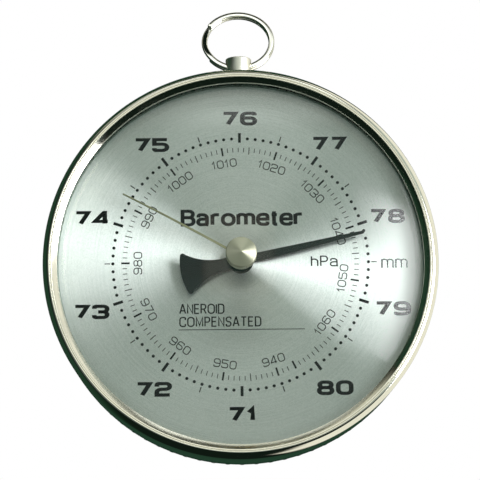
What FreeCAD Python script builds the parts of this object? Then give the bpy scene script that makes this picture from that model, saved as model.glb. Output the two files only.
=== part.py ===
"""Round aneroid barometer: case, domed crystal, dial, hands and the whole movement behind the dial.

Frame: +Z up, the dial faces -Y, and the origin is the centre of the flat back of the rear cover.
A "front" is a distance in front of that back plane, so a piece between fronts 4 and 27 fills
y = -4 to y = -27. Angles are clockwise from the top, as seen from the front. All sizes are mm.
"""

import FreeCAD
import Part
import math
import os

V = FreeCAD.Vector
ORIGIN = V(0, 0, 0)
ALONG_X = V(1, 0, 0)
ALONG_Y = V(0, 1, 0)
FORWARD = V(0, -1, 0)
REARWARD = V(0, 1, 0)

# ---- clearances ----
FIT_GAP = 0.05
END_GAP = 0.15

# ---- case ----
CASE_R = 65.0
DRUM_INNER_R = 63.0
DRUM_FRONT = 27.0
LEDGE_R = 60.6
LEDGE_HEIGHT = 1.8
BEZEL_FRONT = 31.0
LIP_OUTER_R = 63.1
LIP_INNER_R = 61.9
LIP_GROOVE = 0.28
LIP_EDGE = 0.25
SIGHT_R = 60.2
BEVEL_REAR = 28.1
BEVEL_FOOT = 29.4

# ---- rear cover ----
COVER_FRONT = 4.0
COVER_WEB = 2.4
COVER_TEETH = 84
COVER_ROOT_R = 64.1
COVER_TIP_R = 65.0
COVER_POCKET_R = 60.4
COVER_SPIGOT = 2.2
COVER_STEP_R = 63.9
COVER_STEP_FRONT = 2.1
COVER_GROOVE_R = 53.0
COVER_GROOVE_WIDE = 1.0
COVER_GROOVE_DEEP = 0.4
ACCESS_R = 3.2
VENT_PLACES = (-15.0, -9.0, -3.0, 3.0, 9.0, 15.0)
VENT_Z = -24.0
VENT_HALF_LENGTH = 7.0
VENT_HALF_WIDTH = 1.0

# ---- dial and crystal ----
DIAL_FRONT = 24.0
DIAL_REAR = 23.2
DIAL_R = 62.8
DIAL_HOLE_R = 2.6
CRYSTAL_R = 61.4
CRYSTAL_THICK = 1.8
CRYSTAL_REAR = 25.9
DOME_R = 59.4
DOME_RISE = 10.6
DOME_INNER_R = (DOME_R ** 2 + DOME_RISE ** 2) / (2 * DOME_RISE)
DOME_CENTRE = CRYSTAL_REAR + DOME_RISE - DOME_INNER_R
DOME_INNER_FRONT = CRYSTAL_REAR + DOME_RISE
DOME_OUTER_FRONT = DOME_INNER_FRONT + CRYSTAL_THICK

# ---- movement plates: rear and front of each ----
BASE_REAR, BASE_FRONT = 5.0, 6.4
PLATE_REAR, PLATE_FRONT = 15.6, 16.6
BRIDGE_REAR, BRIDGE_FRONT = 21.4, 22.2
BASE_R = 36.0
PLATE_R = 35.0
PILLAR_R = 2.2
DIAL_PILLARS_R = 31.5
BRIDGE_HALF_WIDTH = 2.4
MOVE_PILLARS = [(x, z) for x in (-21.0, 21.0) for z in (-23.5, 23.5)]
SCREW_R = 0.75
SCREW_HEAD_R = 1.4
SCREW_HEAD = 0.7
SCREW_BITE = 3.0

# ---- gear train and rocking shaft ----
MODULE = 0.3
PINION_TEETH = 12
SECTOR_TEETH = 144
GEAR_RATIO = SECTOR_TEETH / PINION_TEETH
PINION_R = MODULE * PINION_TEETH / 2
SECTOR_R = MODULE * SECTOR_TEETH / 2
ADDENDUM = 0.24
DEDENDUM = 0.42
TOOTH_SHARE = 0.38
ARM_RATIO = 2.2
CONTACT_RADIUS = 2.8
DRIVE_RADIUS = 2.55
DRIVE_R = 0.4
SHAFT_FRONT = 13.6
SHAFT_R = 0.9
SHAFT_Z = -CONTACT_RADIUS
SECTOR_X = math.sqrt((PINION_R + SECTOR_R) ** 2 - SHAFT_Z ** 2)
SECTOR_MID = SHAFT_FRONT + ARM_RATIO * DRIVE_RADIUS
SECTOR_THICK = 0.8
PIVOT_R = 0.5
ARBOR_R = 0.6
SECTOR_ARBOR_R = 0.9
BUSH_R = 1.4
EAR_THICK = 2.4
EAR_FACES = (-17.4, 28.4)
EAR_REAR = 12.1
EAR_LOW, EAR_HIGH = 6.8, 1.8
EAR_SCREW_DROP = 5.2
SHAFT_ENDS = (EAR_FACES[0] + EAR_THICK + END_GAP, EAR_FACES[1] - END_GAP)
COUNTERWEIGHT_X = 18.5

# ---- hand angles ----
POINTER_REST = 77.0
POINTER_LOW = -180.0
POINTER_HIGH = 144.0
SET_HAND_REST = -60.0
SECTOR_REST = ((POINTER_LOW + POINTER_HIGH) / 2 - POINTER_REST) / GEAR_RATIO
ARM_REST = SECTOR_REST / ARM_RATIO

# ---- capsule ----
CAPSULE_X = -8.0
CAPSULE_R = 22.0
CAPSULE_REAR = 7.0
CAPSULE_SEAM = 9.5
CAPSULE_FRONT = 12.0
CAPSULE_SHELL = 0.3
CAPSULE_BOSS_R = 4.0
CAPSULE_WAVE_END_R = 19.0
CAPSULE_WAVES = 5
CAPSULE_WAVE_DEPTH = 0.45
ADJUSTER_R = 2.0

# ---- hairspring ----
HAIR_REAR, HAIR_FRONT = 20.5, 20.9
HAIR_COLLET_R = 1.3
HAIR_THICK = 0.12
HAIR_PITCH = 0.38
HAIR_HALF_TURNS = 19
HAIR_FIRST_R = HAIR_COLLET_R + HAIR_THICK
HAIR_LAST_R = HAIR_FIRST_R + HAIR_HALF_TURNS * HAIR_PITCH / 2
HAIR_STUD_R = 0.45

# ---- hands, washer and knob ----
POINTER_REAR = DIAL_FRONT + 3.2
POINTER_THICK = 0.6
POINTER_TIP = 41.9
POINTER_HALF_BASE, POINTER_HALF_TIP = 1.62, 0.5
POINTER_HUB_R = 4.2
POINTER_BOSS_R = 1.2
TAIL_R = 20.1
TAIL_HALF_BASE = 2.1
TAIL_WAIST = (2.15, 6.6)
TAIL_FLARE = (3.75, 13.2)
TAIL_CORNER = (6.3, 17.4)
TAIL_ROUND = (6.85, 18.4)
TAIL_SHOULDER = (6.3, 19.1)
HAND_TIP = 44.7
HAND_HALF_BASE, HAND_HALF_TIP = 0.43, 0.25
HAND_EYE_R = 2.3
HAND_THICK = 0.35
HAND_GAP = 0.45
HAND_REAR = DOME_INNER_FRONT - HAND_GAP - HAND_THICK - 0.02
HAND_BUSH_REAR = HAND_REAR - 1.1
WASHER_REAR = DOME_OUTER_FRONT + 0.05
WASHER_FRONT = DOME_OUTER_FRONT + 0.6
WASHER_R = 4.8
KNOB_SHAFT_R = 1.2
KNOB_BACK_R = 4.0
KNOB_R = 5.05
KNOB_TEETH = 50
KNOB_REAR = DIAL_FRONT + 15.3
KNOB_RIM = DIAL_FRONT + 19.5
KNOB_APEX = DIAL_FRONT + 20.9

# ---- hanger ----
HANGER_FRONT = 14.0
STUD_R = 4.4
STUD_EDGE = 0.35
STUD_FOOT = 66.5
STUD_TOP = 72.8
SHANK_R = 2.5
SHANK_END = 57.4
COLLAR_R = 5.65
NUT_TOP = 61.8
NUT_HEIGHT = 3.6
RING_HOLE_Z = 69.4
RING_HOLE_R = 1.8
RING_OUTER_R = 12.6
RING_WIRE_WIDE = 2.0
RING_WIRE_THICK = 1.1
RING_WIRE_ROUND = 0.3
RING_MID_R = RING_OUTER_R - RING_WIRE_WIDE / 2
RING_LEAN = 20.5
RING_END_ANGLE = -92.0
RING_CROSSING = 70.0


# ---- helpers ----

def save(node, shape):
    """Write one node's solids to its STEP file."""
    if not shape.isValid():
        raise ValueError(node + " is not valid")
    shape.exportStep("parts/" + node + ".step")


def tube(outer, inner, rear, front, x=0.0, z=0.0):
    """A cylinder along the case axis between two fronts, bored through when inner is over 0."""
    body = Part.makeCylinder(outer, front - rear, V(x, -rear, z), FORWARD)
    if inner > 0:
        body = body.cut(Part.makeCylinder(inner, front - rear, V(x, -rear, z), FORWARD))
    return body


def hole(radius, x, z):
    """A cutter for a hole right through any plate."""
    return tube(radius, 0, -5, 60, x, z)


def turned(points, x=0.0, z=0.0):
    """A solid turned about the case's direction from (radius, front) corners."""
    outline = Part.makePolygon([V(x + r, -f, z) for r, f in points + points[:1]])
    return Part.Face(outline).revolve(V(x, 0, z), ALONG_Y, 360)


def slab(points, rear, front):
    """A flat plate from (x, z) corners between two fronts."""
    outline = Part.makePolygon([V(x, -rear, z) for x, z in points + points[:1]])
    return Part.Face(outline).extrude(V(0, rear - front, 0))


def polar(radius, angle, x=0.0, z=0.0):
    """The (x, z) point at a clockwise angle from the top of a centre."""
    a = math.radians(angle)
    return x + radius * math.sin(a), z + radius * math.cos(a)


def spin(shape, angle, x=0.0, z=0.0):
    """The shape turned clockwise about an axis that runs along the case's direction."""
    moved = shape.copy()
    moved.rotate(V(x, 0, z), ALONG_Y, angle)
    return moved


def rock(shape, angle):
    """The shape turned about the rocking shaft's axis."""
    moved = shape.copy()
    moved.rotate(V(0, -SHAFT_FRONT, SHAFT_Z), ALONG_X, angle)
    return moved


def group(shapes):
    """Identical pieces that share one node."""
    return Part.makeCompound(shapes)


def knurled(teeth, root, tip, rear, front, land):
    """A disc whose edge is cut into straight ridges; land is the share of the pitch at the tips."""
    step = 360.0 / teeth
    points = []
    for n in range(teeth):
        points.append(polar(root, step * (n - 0.5)))
        points.append(polar(tip, step * (n - land / 2)))
        points.append(polar(tip, step * (n + land / 2)))
    return slab(points, rear, front)


def screw(x, z, seat, toward, bite=SCREW_BITE):
    """A slotted cheese-head screw: head on one side of the plane at seat, shank on the other."""
    point = V(x, -seat, z)
    head = Part.makeCylinder(SCREW_HEAD_R, SCREW_HEAD, point, toward)
    shank = Part.makeCylinder(SCREW_R, bite, point, toward * -1)
    slot_depth = SCREW_HEAD / 2
    slot_centre = point + toward * (SCREW_HEAD - slot_depth / 2)
    corner = slot_centre - V(2 * SCREW_HEAD_R, slot_depth / 2, 0.2)
    slot = Part.makeBox(4 * SCREW_HEAD_R, slot_depth, 0.4, corner)
    return head.fuse(shank).removeSplitter().cut(slot)


def cut_holes(shape, places, radius):
    """The shape with a hole of one radius at each (x, z) place."""
    for x, z in places:
        shape = shape.cut(hole(radius, x, z))
    return shape


# ---- case ----

def case_drum():
    """The round wall, with the inner ledge that carries the dial and the hanger's hole."""
    wall = turned([
        (DRUM_INNER_R, COVER_FRONT),
        (CASE_R, COVER_FRONT),
        (CASE_R, DRUM_FRONT),
        (DRUM_INNER_R, DRUM_FRONT),
        (DRUM_INNER_R, DIAL_REAR),
        (LEDGE_R, DIAL_REAR),
        (LEDGE_R, DIAL_REAR - LEDGE_HEIGHT),
        (DRUM_INNER_R, DIAL_REAR - LEDGE_HEIGHT - (DRUM_INNER_R - LEDGE_R)),
    ])
    return wall.cut(Part.makeCylinder(SHANK_R + FIT_GAP, 10, V(0, -HANGER_FRONT, CASE_R - 6)))


def bezel_ring():
    """The front ring: spigot, rounded shoulder, twin-ridge lip and the bevel down to the sight."""
    spigot_r = DRUM_INNER_R - FIT_GAP
    seat_r = CRYSTAL_R + 4 * FIT_GAP
    lip_mid_r = (LIP_OUTER_R + LIP_INNER_R) / 2
    ridge = (LIP_OUTER_R - LIP_INNER_R) / 4
    lip_side = BEZEL_FRONT - LIP_EDGE

    def line(a, b):
        return Part.makeLine(V(a[0], -a[1], 0), V(b[0], -b[1], 0))

    def arc(a, b, c):
        return Part.Arc(*[V(r, -f, 0) for r, f in (a, b, c)]).toShape()

    shoulder_start = (CASE_R, DRUM_FRONT + 1.4)
    shoulder_end = (LIP_OUTER_R, lip_side)
    valley = (lip_mid_r, BEZEL_FRONT - LIP_GROOVE)
    bevel_start = (LIP_INNER_R, lip_side)
    bevel_end = (SIGHT_R, BEVEL_FOOT)
    outline = [
        line((spigot_r, DIAL_FRONT), (spigot_r, DRUM_FRONT)),
        line((spigot_r, DRUM_FRONT), (CASE_R, DRUM_FRONT)),
        line((CASE_R, DRUM_FRONT), shoulder_start),
        arc(shoulder_start, (CASE_R - 0.45, DRUM_FRONT + 2.9), shoulder_end),
        arc(shoulder_end, (lip_mid_r + ridge, BEZEL_FRONT), valley),
        arc(valley, (lip_mid_r - ridge, BEZEL_FRONT), bevel_start),
        line(bevel_start, bevel_end),
        line(bevel_end, (SIGHT_R, BEVEL_REAR)),
        line((SIGHT_R, BEVEL_REAR), (seat_r, BEVEL_REAR)),
        line((seat_r, BEVEL_REAR), (seat_r, DIAL_FRONT)),
        line((seat_r, DIAL_FRONT), (spigot_r, DIAL_FRONT)),
    ]
    return Part.Face(Part.Wire(outline)).revolve(ORIGIN, ALONG_Y, 360)


def vent_slot(x):
    """A cutter for one round-ended slot, low on the rear cover."""
    corner = V(x - VENT_HALF_WIDTH, -COVER_WEB - 1, VENT_Z - VENT_HALF_LENGTH)
    body = Part.makeBox(2 * VENT_HALF_WIDTH, COVER_WEB + 2, 2 * VENT_HALF_LENGTH, corner)
    for end in (-VENT_HALF_LENGTH, VENT_HALF_LENGTH):
        body = body.fuse(hole(VENT_HALF_WIDTH, x, VENT_Z + end))
    return body


def rear_cover():
    """The screwed cover: knurled edge, flat back, vents, and the access hole for the adjuster."""
    disc = knurled(COVER_TEETH, COVER_ROOT_R, COVER_TIP_R, 0, COVER_FRONT, 0.3)
    outside = COVER_TIP_R + 1
    edge_cut = turned([(COVER_STEP_R, 0), (outside, 0), (outside, COVER_STEP_FRONT)])
    pocket = tube(COVER_POCKET_R, 0, COVER_WEB, COVER_FRONT)
    spigot_r = DRUM_INNER_R - FIT_GAP
    spigot = tube(spigot_r, COVER_POCKET_R, COVER_FRONT, COVER_FRONT + COVER_SPIGOT)
    groove = tube(COVER_GROOVE_R, COVER_GROOVE_R - COVER_GROOVE_WIDE, 0, COVER_GROOVE_DEEP)
    cover = disc.cut(edge_cut).cut(pocket).fuse(spigot).removeSplitter()
    cover = cover.cut(groove).cut(hole(ACCESS_R, CAPSULE_X, 0))
    for x in VENT_PLACES:
        cover = cover.cut(vent_slot(x))
    return cover


def crystal():
    """The domed crystal: a flat rim, a spherical dome and the hole for the knob's shaft."""
    centre = V(0, -DOME_CENTRE, 0)
    inner = Part.makeSphere(DOME_INNER_R, centre)
    outer = Part.makeSphere(DOME_INNER_R + CRYSTAL_THICK, centre)
    front_of_rim = tube(CRYSTAL_R, 0, CRYSTAL_REAR, DOME_OUTER_FRONT + 1)
    rim = tube(CRYSTAL_R, 0, CRYSTAL_REAR, CRYSTAL_REAR + CRYSTAL_THICK)
    dome = outer.common(front_of_rim)
    return rim.fuse(dome).cut(inner).cut(hole(KNOB_SHAFT_R + FIT_GAP, 0, 0))


def crystal_gasket():
    """The thin rubber ring between the crystal's rim and the bezel."""
    return tube(CRYSTAL_R, SIGHT_R + 0.3, CRYSTAL_REAR + CRYSTAL_THICK, BEVEL_REAR)


def spacer_ring():
    """The ring that stands on the dial and keeps the crystal off it."""
    return tube(CRYSTAL_R, SIGHT_R, DIAL_FRONT, CRYSTAL_REAR)


def dial_plate():
    """The flat dial with its centre hole."""
    return tube(DIAL_R, DIAL_HOLE_R, DIAL_REAR, DIAL_FRONT)


# ---- hanger ----

def ring_hole():
    """A cutter for the stud's cross hole, flared at both mouths so that the curved ring can swing."""
    reach = STUD_R + 0.4
    mouth_r = RING_HOLE_R + RING_MID_R - math.sqrt(RING_MID_R ** 2 - reach ** 2)

    def p(x, r):
        return V(x, -HANGER_FRONT, RING_HOLE_Z + r)

    outline = [
        Part.Arc(p(-reach, mouth_r), p(0, RING_HOLE_R), p(reach, mouth_r)).toShape(),
        Part.makeLine(p(reach, mouth_r), p(reach, 0)),
        Part.makeLine(p(reach, 0), p(-reach, 0)),
        Part.makeLine(p(-reach, 0), p(-reach, mouth_r)),
    ]
    return Part.Face(Part.Wire(outline)).revolve(p(0, 0), ALONG_X, 360)


def hanger_stud():
    """The turned stud with its cross hole, and the shank that goes through the case wall."""
    head = Part.makeCylinder(STUD_R, STUD_TOP - STUD_FOOT, V(0, -HANGER_FRONT, STUD_FOOT))
    rims = [e for e in head.Edges if len(e.Vertexes) == 1 and e.CenterOfMass.z > STUD_TOP - 0.01]
    head = head.makeFillet(STUD_EDGE, rims)
    shank = Part.makeCylinder(SHANK_R, STUD_FOOT - SHANK_END, V(0, -HANGER_FRONT, SHANK_END))
    return head.fuse(shank).removeSplitter().cut(ring_hole())


def hanger_collar():
    """The collar under the stud, hollowed below to sit on the round case."""
    low = CASE_R - 1
    collar = Part.makeCylinder(COLLAR_R, STUD_FOOT - low, V(0, -HANGER_FRONT, low))
    bore = Part.makeCylinder(SHANK_R + FIT_GAP, STUD_FOOT - low, V(0, -HANGER_FRONT, low))
    return collar.cut(bore).cut(tube(CASE_R, 0, COVER_FRONT, DRUM_FRONT))


def hanger_saddle():
    """The washer inside the case, crowned to fit the round wall."""
    height = DRUM_INNER_R - NUT_TOP
    washer = Part.makeCylinder(5.0, height, V(0, -HANGER_FRONT, NUT_TOP))
    bore = Part.makeCylinder(SHANK_R + FIT_GAP, height, V(0, -HANGER_FRONT, NUT_TOP))
    return washer.cut(bore).common(tube(DRUM_INNER_R, 0, COVER_FRONT, DIAL_REAR))


def hexagon(across_flats):
    """The six corners of a hexagon about the origin."""
    corner_r = across_flats / math.sqrt(3)
    return [polar(corner_r, 60 * n) for n in range(6)]


def hanger_nut():
    """The hexagon nut that holds the stud from inside."""
    low = NUT_TOP - NUT_HEIGHT
    corners = [V(x, y - HANGER_FRONT, low) for x, y in hexagon(8.0)]
    body = Part.Face(Part.makePolygon(corners + corners[:1])).extrude(V(0, 0, NUT_HEIGHT))
    return body.cut(Part.makeCylinder(SHANK_R + FIT_GAP, NUT_HEIGHT, V(0, -HANGER_FRONT, low)))


def wire_section(angle, offset):
    """The split ring's rounded wire section, at an angle around the ring and an offset along it."""
    half_wide, half_thick, corner = RING_WIRE_WIDE / 2, RING_WIRE_THICK / 2, RING_WIRE_ROUND
    bow = corner * (1 - math.sqrt(0.5))
    edges = []
    last = V(-half_wide, half_thick - corner, 0)
    for right, up in ((-1, 1), (1, 1), (1, -1), (-1, -1)):
        tip = V(right * half_wide, up * half_thick, 0)
        across = V(-right * corner, 0, 0)
        along = V(0, -up * corner, 0)
        start, end = (tip + along, tip + across) if right == -up else (tip + across, tip + along)
        middle = tip + V(-right * bow, -up * bow, 0)
        if (start - last).Length > 1e-6:
            edges.append(Part.makeLine(last, start))
        edges.append(Part.Arc(start, middle, end).toShape())
        last = end
    edges.append(Part.makeLine(last, V(-half_wide, half_thick - corner, 0)))
    wire = Part.Wire(edges)
    wire.translate(V(RING_MID_R, offset, 0))
    wire.rotate(ORIGIN, ALONG_Y, angle - 90)
    return wire


def ring_crossing(start, rear_offset):
    """The short stretch where the wire steps from the front lap over to the rear lap."""
    sections = []
    steps = 12
    for n in range(steps + 1):
        t = n / steps
        smooth = t * t * (3 - 2 * t)
        sections.append(wire_section(start + RING_CROSSING * t, rear_offset * (2 * smooth - 1)))
    return Part.makeLoft(sections, True, True)


def split_ring():
    """The split ring of two flat wire laps, leaning back in the stud's cross hole."""
    rear_offset = RING_WIRE_THICK / 2
    after_crossing = RING_END_ANGLE + RING_CROSSING / 2
    before_crossing = RING_END_ANGLE - RING_CROSSING / 2
    sweep = 360 - RING_CROSSING
    laps = []
    for offset in (-rear_offset, rear_offset):
        section = Part.Face(wire_section(after_crossing, offset))
        laps.append(section.revolve(ORIGIN, ALONG_Y, sweep))
    ring = laps[0].fuse([laps[1], ring_crossing(before_crossing, rear_offset)])
    ring.translate(V(0, 0, RING_MID_R))
    ring.rotate(ORIGIN, ALONG_X, -RING_LEAN)
    ring.translate(V(0, -HANGER_FRONT, RING_HOLE_Z))
    return ring.removeSplitter()


# ---- movement frame ----

def base_plate():
    """The movement's rear plate."""
    plate = tube(BASE_R, 0, BASE_REAR, BASE_FRONT)
    plate = plate.cut(hole(ADJUSTER_R + FIT_GAP, CAPSULE_X, 0))
    return cut_holes(plate, MOVE_PILLARS, SCREW_R + FIT_GAP)


def dial_pillar_places():
    """Where the three dial pillars stand."""
    return [polar(DIAL_PILLARS_R, 120 * n) for n in range(3)]


def movement_plate():
    """The middle plate that carries the bearings, with windows and the drive arm's slot."""
    plate = tube(PLATE_R, 0, PLATE_REAR, PLATE_FRONT)
    for angle in (-40, 40, -140, 140):
        plate = plate.cut(hole(7.0, *polar(17.5, angle)))
    plate = cut_holes(plate, MOVE_PILLARS + dial_pillar_places(), SCREW_R + FIT_GAP)
    plate = cut_holes(plate, ear_screw_places() + bridge_foot_places(), SCREW_R + FIT_GAP)
    plate = cut_holes(plate, [(0, 0), (SECTOR_X, SHAFT_Z)], BUSH_R)
    slot_half_x, slot_half_z = DRIVE_R + 0.35, 1.5
    corner = V(SECTOR_X + DRIVE_RADIUS - slot_half_x, -PLATE_FRONT, SHAFT_Z - slot_half_z)
    return plate.cut(Part.makeBox(2 * slot_half_x, PLATE_FRONT - PLATE_REAR, 2 * slot_half_z, corner))


def pillar(x, z, rear, front):
    """One turned pillar with a blind screw hole in each end."""
    body = tube(PILLAR_R, 0, rear, front, x, z)
    depth = SCREW_BITE
    body = body.cut(tube(SCREW_R + FIT_GAP, 0, rear, rear + depth, x, z))
    return body.cut(tube(SCREW_R + FIT_GAP, 0, front - depth, front, x, z))


def movement_pillars():
    """The four pillars between the base plate and the movement plate."""
    return group([pillar(x, z, BASE_FRONT, PLATE_REAR) for x, z in MOVE_PILLARS])


def dial_pillars():
    """The three pillars that carry the movement on the dial plate."""
    pillars = []
    for x, z in dial_pillar_places():
        body = tube(PILLAR_R, 0, PLATE_FRONT, DIAL_REAR, x, z)
        bore = tube(SCREW_R + FIT_GAP, 0, PLATE_FRONT, PLATE_FRONT + SCREW_BITE, x, z)
        pillars.append(body.cut(bore))
    return group(pillars)


def base_screws():
    """Screws from the rear through the base plate into the pillars."""
    return group([screw(x, z, BASE_REAR, REARWARD) for x, z in MOVE_PILLARS])


def movement_screws():
    """Screws from the front through the movement plate into the pillars."""
    return group([screw(x, z, PLATE_FRONT, FORWARD) for x, z in MOVE_PILLARS])


def dial_pillar_screws():
    """Screws from the rear through the movement plate into the dial pillars."""
    return group([screw(x, z, PLATE_REAR, REARWARD) for x, z in dial_pillar_places()])


def on_gear_line(distance):
    """A point on the line from the pointer arbor through the sector's arbor."""
    reach = PINION_R + SECTOR_R
    return SECTOR_X * distance / reach, SHAFT_Z * distance / reach


def bridge_foot_places():
    """Where the bridge's two feet stand."""
    return [on_gear_line(-9.0), on_gear_line(30.6)]


def bridge():
    """The front bridge over both arbors, on two feet."""
    (x1, z1), (x2, z2) = bridge_foot_places()
    length = math.hypot(x2 - x1, z2 - z1)
    low, high = -BRIDGE_HALF_WIDTH, BRIDGE_HALF_WIDTH
    bar = slab([(0, low), (length, low), (length, high), (0, high)], BRIDGE_REAR, BRIDGE_FRONT)
    bar.translate(V(x1, 0, z1))
    bar = spin(bar, math.degrees(math.atan2(z1 - z2, x2 - x1)), x1, z1)
    for x, z in bridge_foot_places():
        bar = bar.fuse(tube(BRIDGE_HALF_WIDTH, 0, PLATE_FRONT, BRIDGE_FRONT, x, z))
    bar = cut_holes(bar.removeSplitter(), bridge_foot_places(), SCREW_R + FIT_GAP)
    return cut_holes(bar, [(0, 0), (SECTOR_X, SHAFT_Z)], BUSH_R)


def bridge_screws():
    """Long screws through the bridge's feet into the movement plate."""
    bite = BRIDGE_FRONT - PLATE_REAR
    return group([screw(x, z, BRIDGE_FRONT, FORWARD, bite) for x, z in bridge_foot_places()])


def arbor_bushes():
    """The four bearing bushes of the pointer arbor and the sector arbor."""
    bushes = []
    for x, z in ((0, 0), (SECTOR_X, SHAFT_Z)):
        bushes.append(tube(BUSH_R, PIVOT_R + FIT_GAP, PLATE_REAR, PLATE_FRONT, x, z))
    bushes.append(tube(BUSH_R, ARBOR_R + FIT_GAP, BRIDGE_REAR, BRIDGE_FRONT, 0, 0))
    bushes.append(tube(BUSH_R, PIVOT_R + FIT_GAP, BRIDGE_REAR, BRIDGE_FRONT, SECTOR_X, SHAFT_Z))
    return group(bushes)


# ---- capsule ----

def corrugated_shell(rim_front, boss_front):
    """One pressed half of the capsule: flat boss, round corrugations and a flat rim."""
    toward = 1 if boss_front > rim_front else -1
    wave = (CAPSULE_WAVE_END_R - CAPSULE_BOSS_R) / CAPSULE_WAVES

    def p(r, f):
        return V(CAPSULE_X + r, -f, 0)

    def surface(offset):
        """Edges from the boss out to the rim, for the face set off by a distance."""
        boss, rim = boss_front + offset, rim_front + offset
        crest = boss - toward * CAPSULE_WAVE_DEPTH
        edges = [Part.makeLine(p(0, boss), p(CAPSULE_BOSS_R, boss))]
        for n in range(CAPSULE_WAVES):
            r = CAPSULE_BOSS_R + n * wave
            edges.append(Part.Arc(p(r, boss), p(r + wave / 2, crest), p(r + wave, boss)).toShape())
        flank_r = CAPSULE_WAVE_END_R + 1.2
        edges.append(Part.makeLine(p(CAPSULE_WAVE_END_R, boss), p(flank_r, rim)))
        edges.append(Part.makeLine(p(flank_r, rim), p(CAPSULE_R, rim)))
        return edges

    shell = -toward * CAPSULE_SHELL
    outside, inside = surface(0.0), surface(shell)
    hub = Part.makeLine(p(0, boss_front), p(0, boss_front + shell))
    rim = Part.makeLine(p(CAPSULE_R, rim_front), p(CAPSULE_R, rim_front + shell))
    outline = Part.Wire(Part.__sortEdges__(outside + inside + [hub, rim]))
    return Part.Face(outline).revolve(V(CAPSULE_X, 0, 0), ALONG_Y, 360)


def capsule_base():
    """The fixed rear half of the evacuated capsule."""
    return corrugated_shell(CAPSULE_SEAM - CAPSULE_SHELL, CAPSULE_REAR)


def capsule_diaphragm():
    """The front half of the capsule, which air pressure pushes in."""
    return corrugated_shell(CAPSULE_SEAM + CAPSULE_SHELL, CAPSULE_FRONT)


def capsule_seat():
    """The ring that seats the capsule on the base plate, around the adjuster."""
    return tube(CAPSULE_BOSS_R, ADJUSTER_R + 0.3, BASE_FRONT, CAPSULE_REAR, CAPSULE_X, 0)


def capsule_post():
    """The post on the diaphragm's centre, with a round tip under the contact arm."""
    arm_underside = SHAFT_FRONT - 0.4 + CONTACT_RADIUS * math.tan(math.radians(ARM_REST))
    tip = arm_underside - END_GAP
    post = tube(1.0, 0, CAPSULE_FRONT, tip, CAPSULE_X, 0)
    ends = [e for e in post.Edges if len(e.Vertexes) == 1 and abs(e.CenterOfMass.y + tip) < 1e-3]
    return post.makeFillet(0.3, ends)


def adjusting_screw():
    """The slotted adjuster that bears on the capsule, reached through the rear cover."""
    rear, front = 1.3, CAPSULE_REAR - END_GAP
    body = tube(ADJUSTER_R, 0, rear, front, CAPSULE_X, 0)
    corner = V(CAPSULE_X - 0.4, -rear - 1.0, -ADJUSTER_R - 1)
    return body.cut(Part.makeBox(0.8, 1.0, 2 * ADJUSTER_R + 2, corner))


def adjusting_lock_nut():
    """The hexagon lock nut behind the base plate."""
    nut = slab([(CAPSULE_X + x, z) for x, z in hexagon(7.0)], 3.3, BASE_REAR)
    return nut.cut(hole(ADJUSTER_R + FIT_GAP, CAPSULE_X, 0))


# ---- rocking shaft ----

def along_shaft(radius, low_x, high_x):
    """A cylinder on the rocking shaft's axis."""
    return Part.makeCylinder(radius, high_x - low_x, V(low_x, -SHAFT_FRONT, SHAFT_Z), ALONG_X)


def shaft_ears():
    """The two bearing ears that hang from the movement plate."""
    ears = []
    for face_x, (screw_x, screw_z) in zip(EAR_FACES, ear_screw_places()):
        corner = V(face_x, -PLATE_REAR, SHAFT_Z - EAR_LOW)
        block = Part.makeBox(EAR_THICK, PLATE_REAR - EAR_REAR, EAR_LOW + EAR_HIGH, corner)
        block = block.cut(along_shaft(PIVOT_R + FIT_GAP, face_x, face_x + EAR_THICK))
        bore = tube(SCREW_R + FIT_GAP, 0, PLATE_REAR - 2, PLATE_REAR, screw_x, screw_z)
        ears.append(block.cut(bore))
    return group(ears)


def ear_screw_places():
    """Where the ears' screws stand."""
    return [(x + EAR_THICK / 2, SHAFT_Z - EAR_SCREW_DROP) for x in EAR_FACES]


def ear_screws():
    """Screws from the front through the movement plate into the ears."""
    bite = PLATE_FRONT - PLATE_REAR + 1.9
    return group([screw(x, z, PLATE_FRONT, FORWARD, bite) for x, z in ear_screw_places()])


def rocking_shaft():
    """The shaft with a thin pivot at each end."""
    low, high = SHAFT_ENDS
    pivots = along_shaft(PIVOT_R, low - EAR_THICK, high + EAR_THICK)
    return along_shaft(SHAFT_R, low, high).fuse(pivots).removeSplitter()


def on_shaft(shape, x, half_width):
    """Join a shape to a collar clamped on the shaft, bored for it, and turn both to rest."""
    collar = along_shaft(SHAFT_R + 0.5, x - half_width, x + half_width)
    bore = along_shaft(SHAFT_R, x - half_width - 1, x + half_width + 1)
    return rock(collar.fuse(shape).removeSplitter().cut(bore), ARM_REST)


def contact_arm():
    """The short arm that rests on the capsule's post."""
    corner = V(CAPSULE_X - 1, -SHAFT_FRONT - 0.4, SHAFT_Z)
    blade = Part.makeBox(2, 0.8, CONTACT_RADIUS + 1.2, corner)
    return on_shaft(blade, CAPSULE_X, 1.5)


def drive_arm():
    """The pin that stands forward from the shaft and turns the sector."""
    x = SECTOR_X + DRIVE_RADIUS
    length = SECTOR_MID - SHAFT_FRONT + 0.6
    pin = Part.makeCylinder(DRIVE_R, length, V(x, -SHAFT_FRONT, SHAFT_Z), FORWARD)
    return on_shaft(pin, x, 0.9)


def counterweight():
    """The weight that balances the arms on the shaft."""
    x = COUNTERWEIGHT_X
    down = V(0, 0, -1)
    stem = Part.makeCylinder(0.5, 5.0, V(x, -SHAFT_FRONT, SHAFT_Z), down)
    weight = Part.makeCylinder(1.1, 2.6, V(x, -SHAFT_FRONT, SHAFT_Z - 2.6), down)
    return on_shaft(stem.fuse(weight), x, 1.2)


# ---- sector and pinion ----

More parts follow.
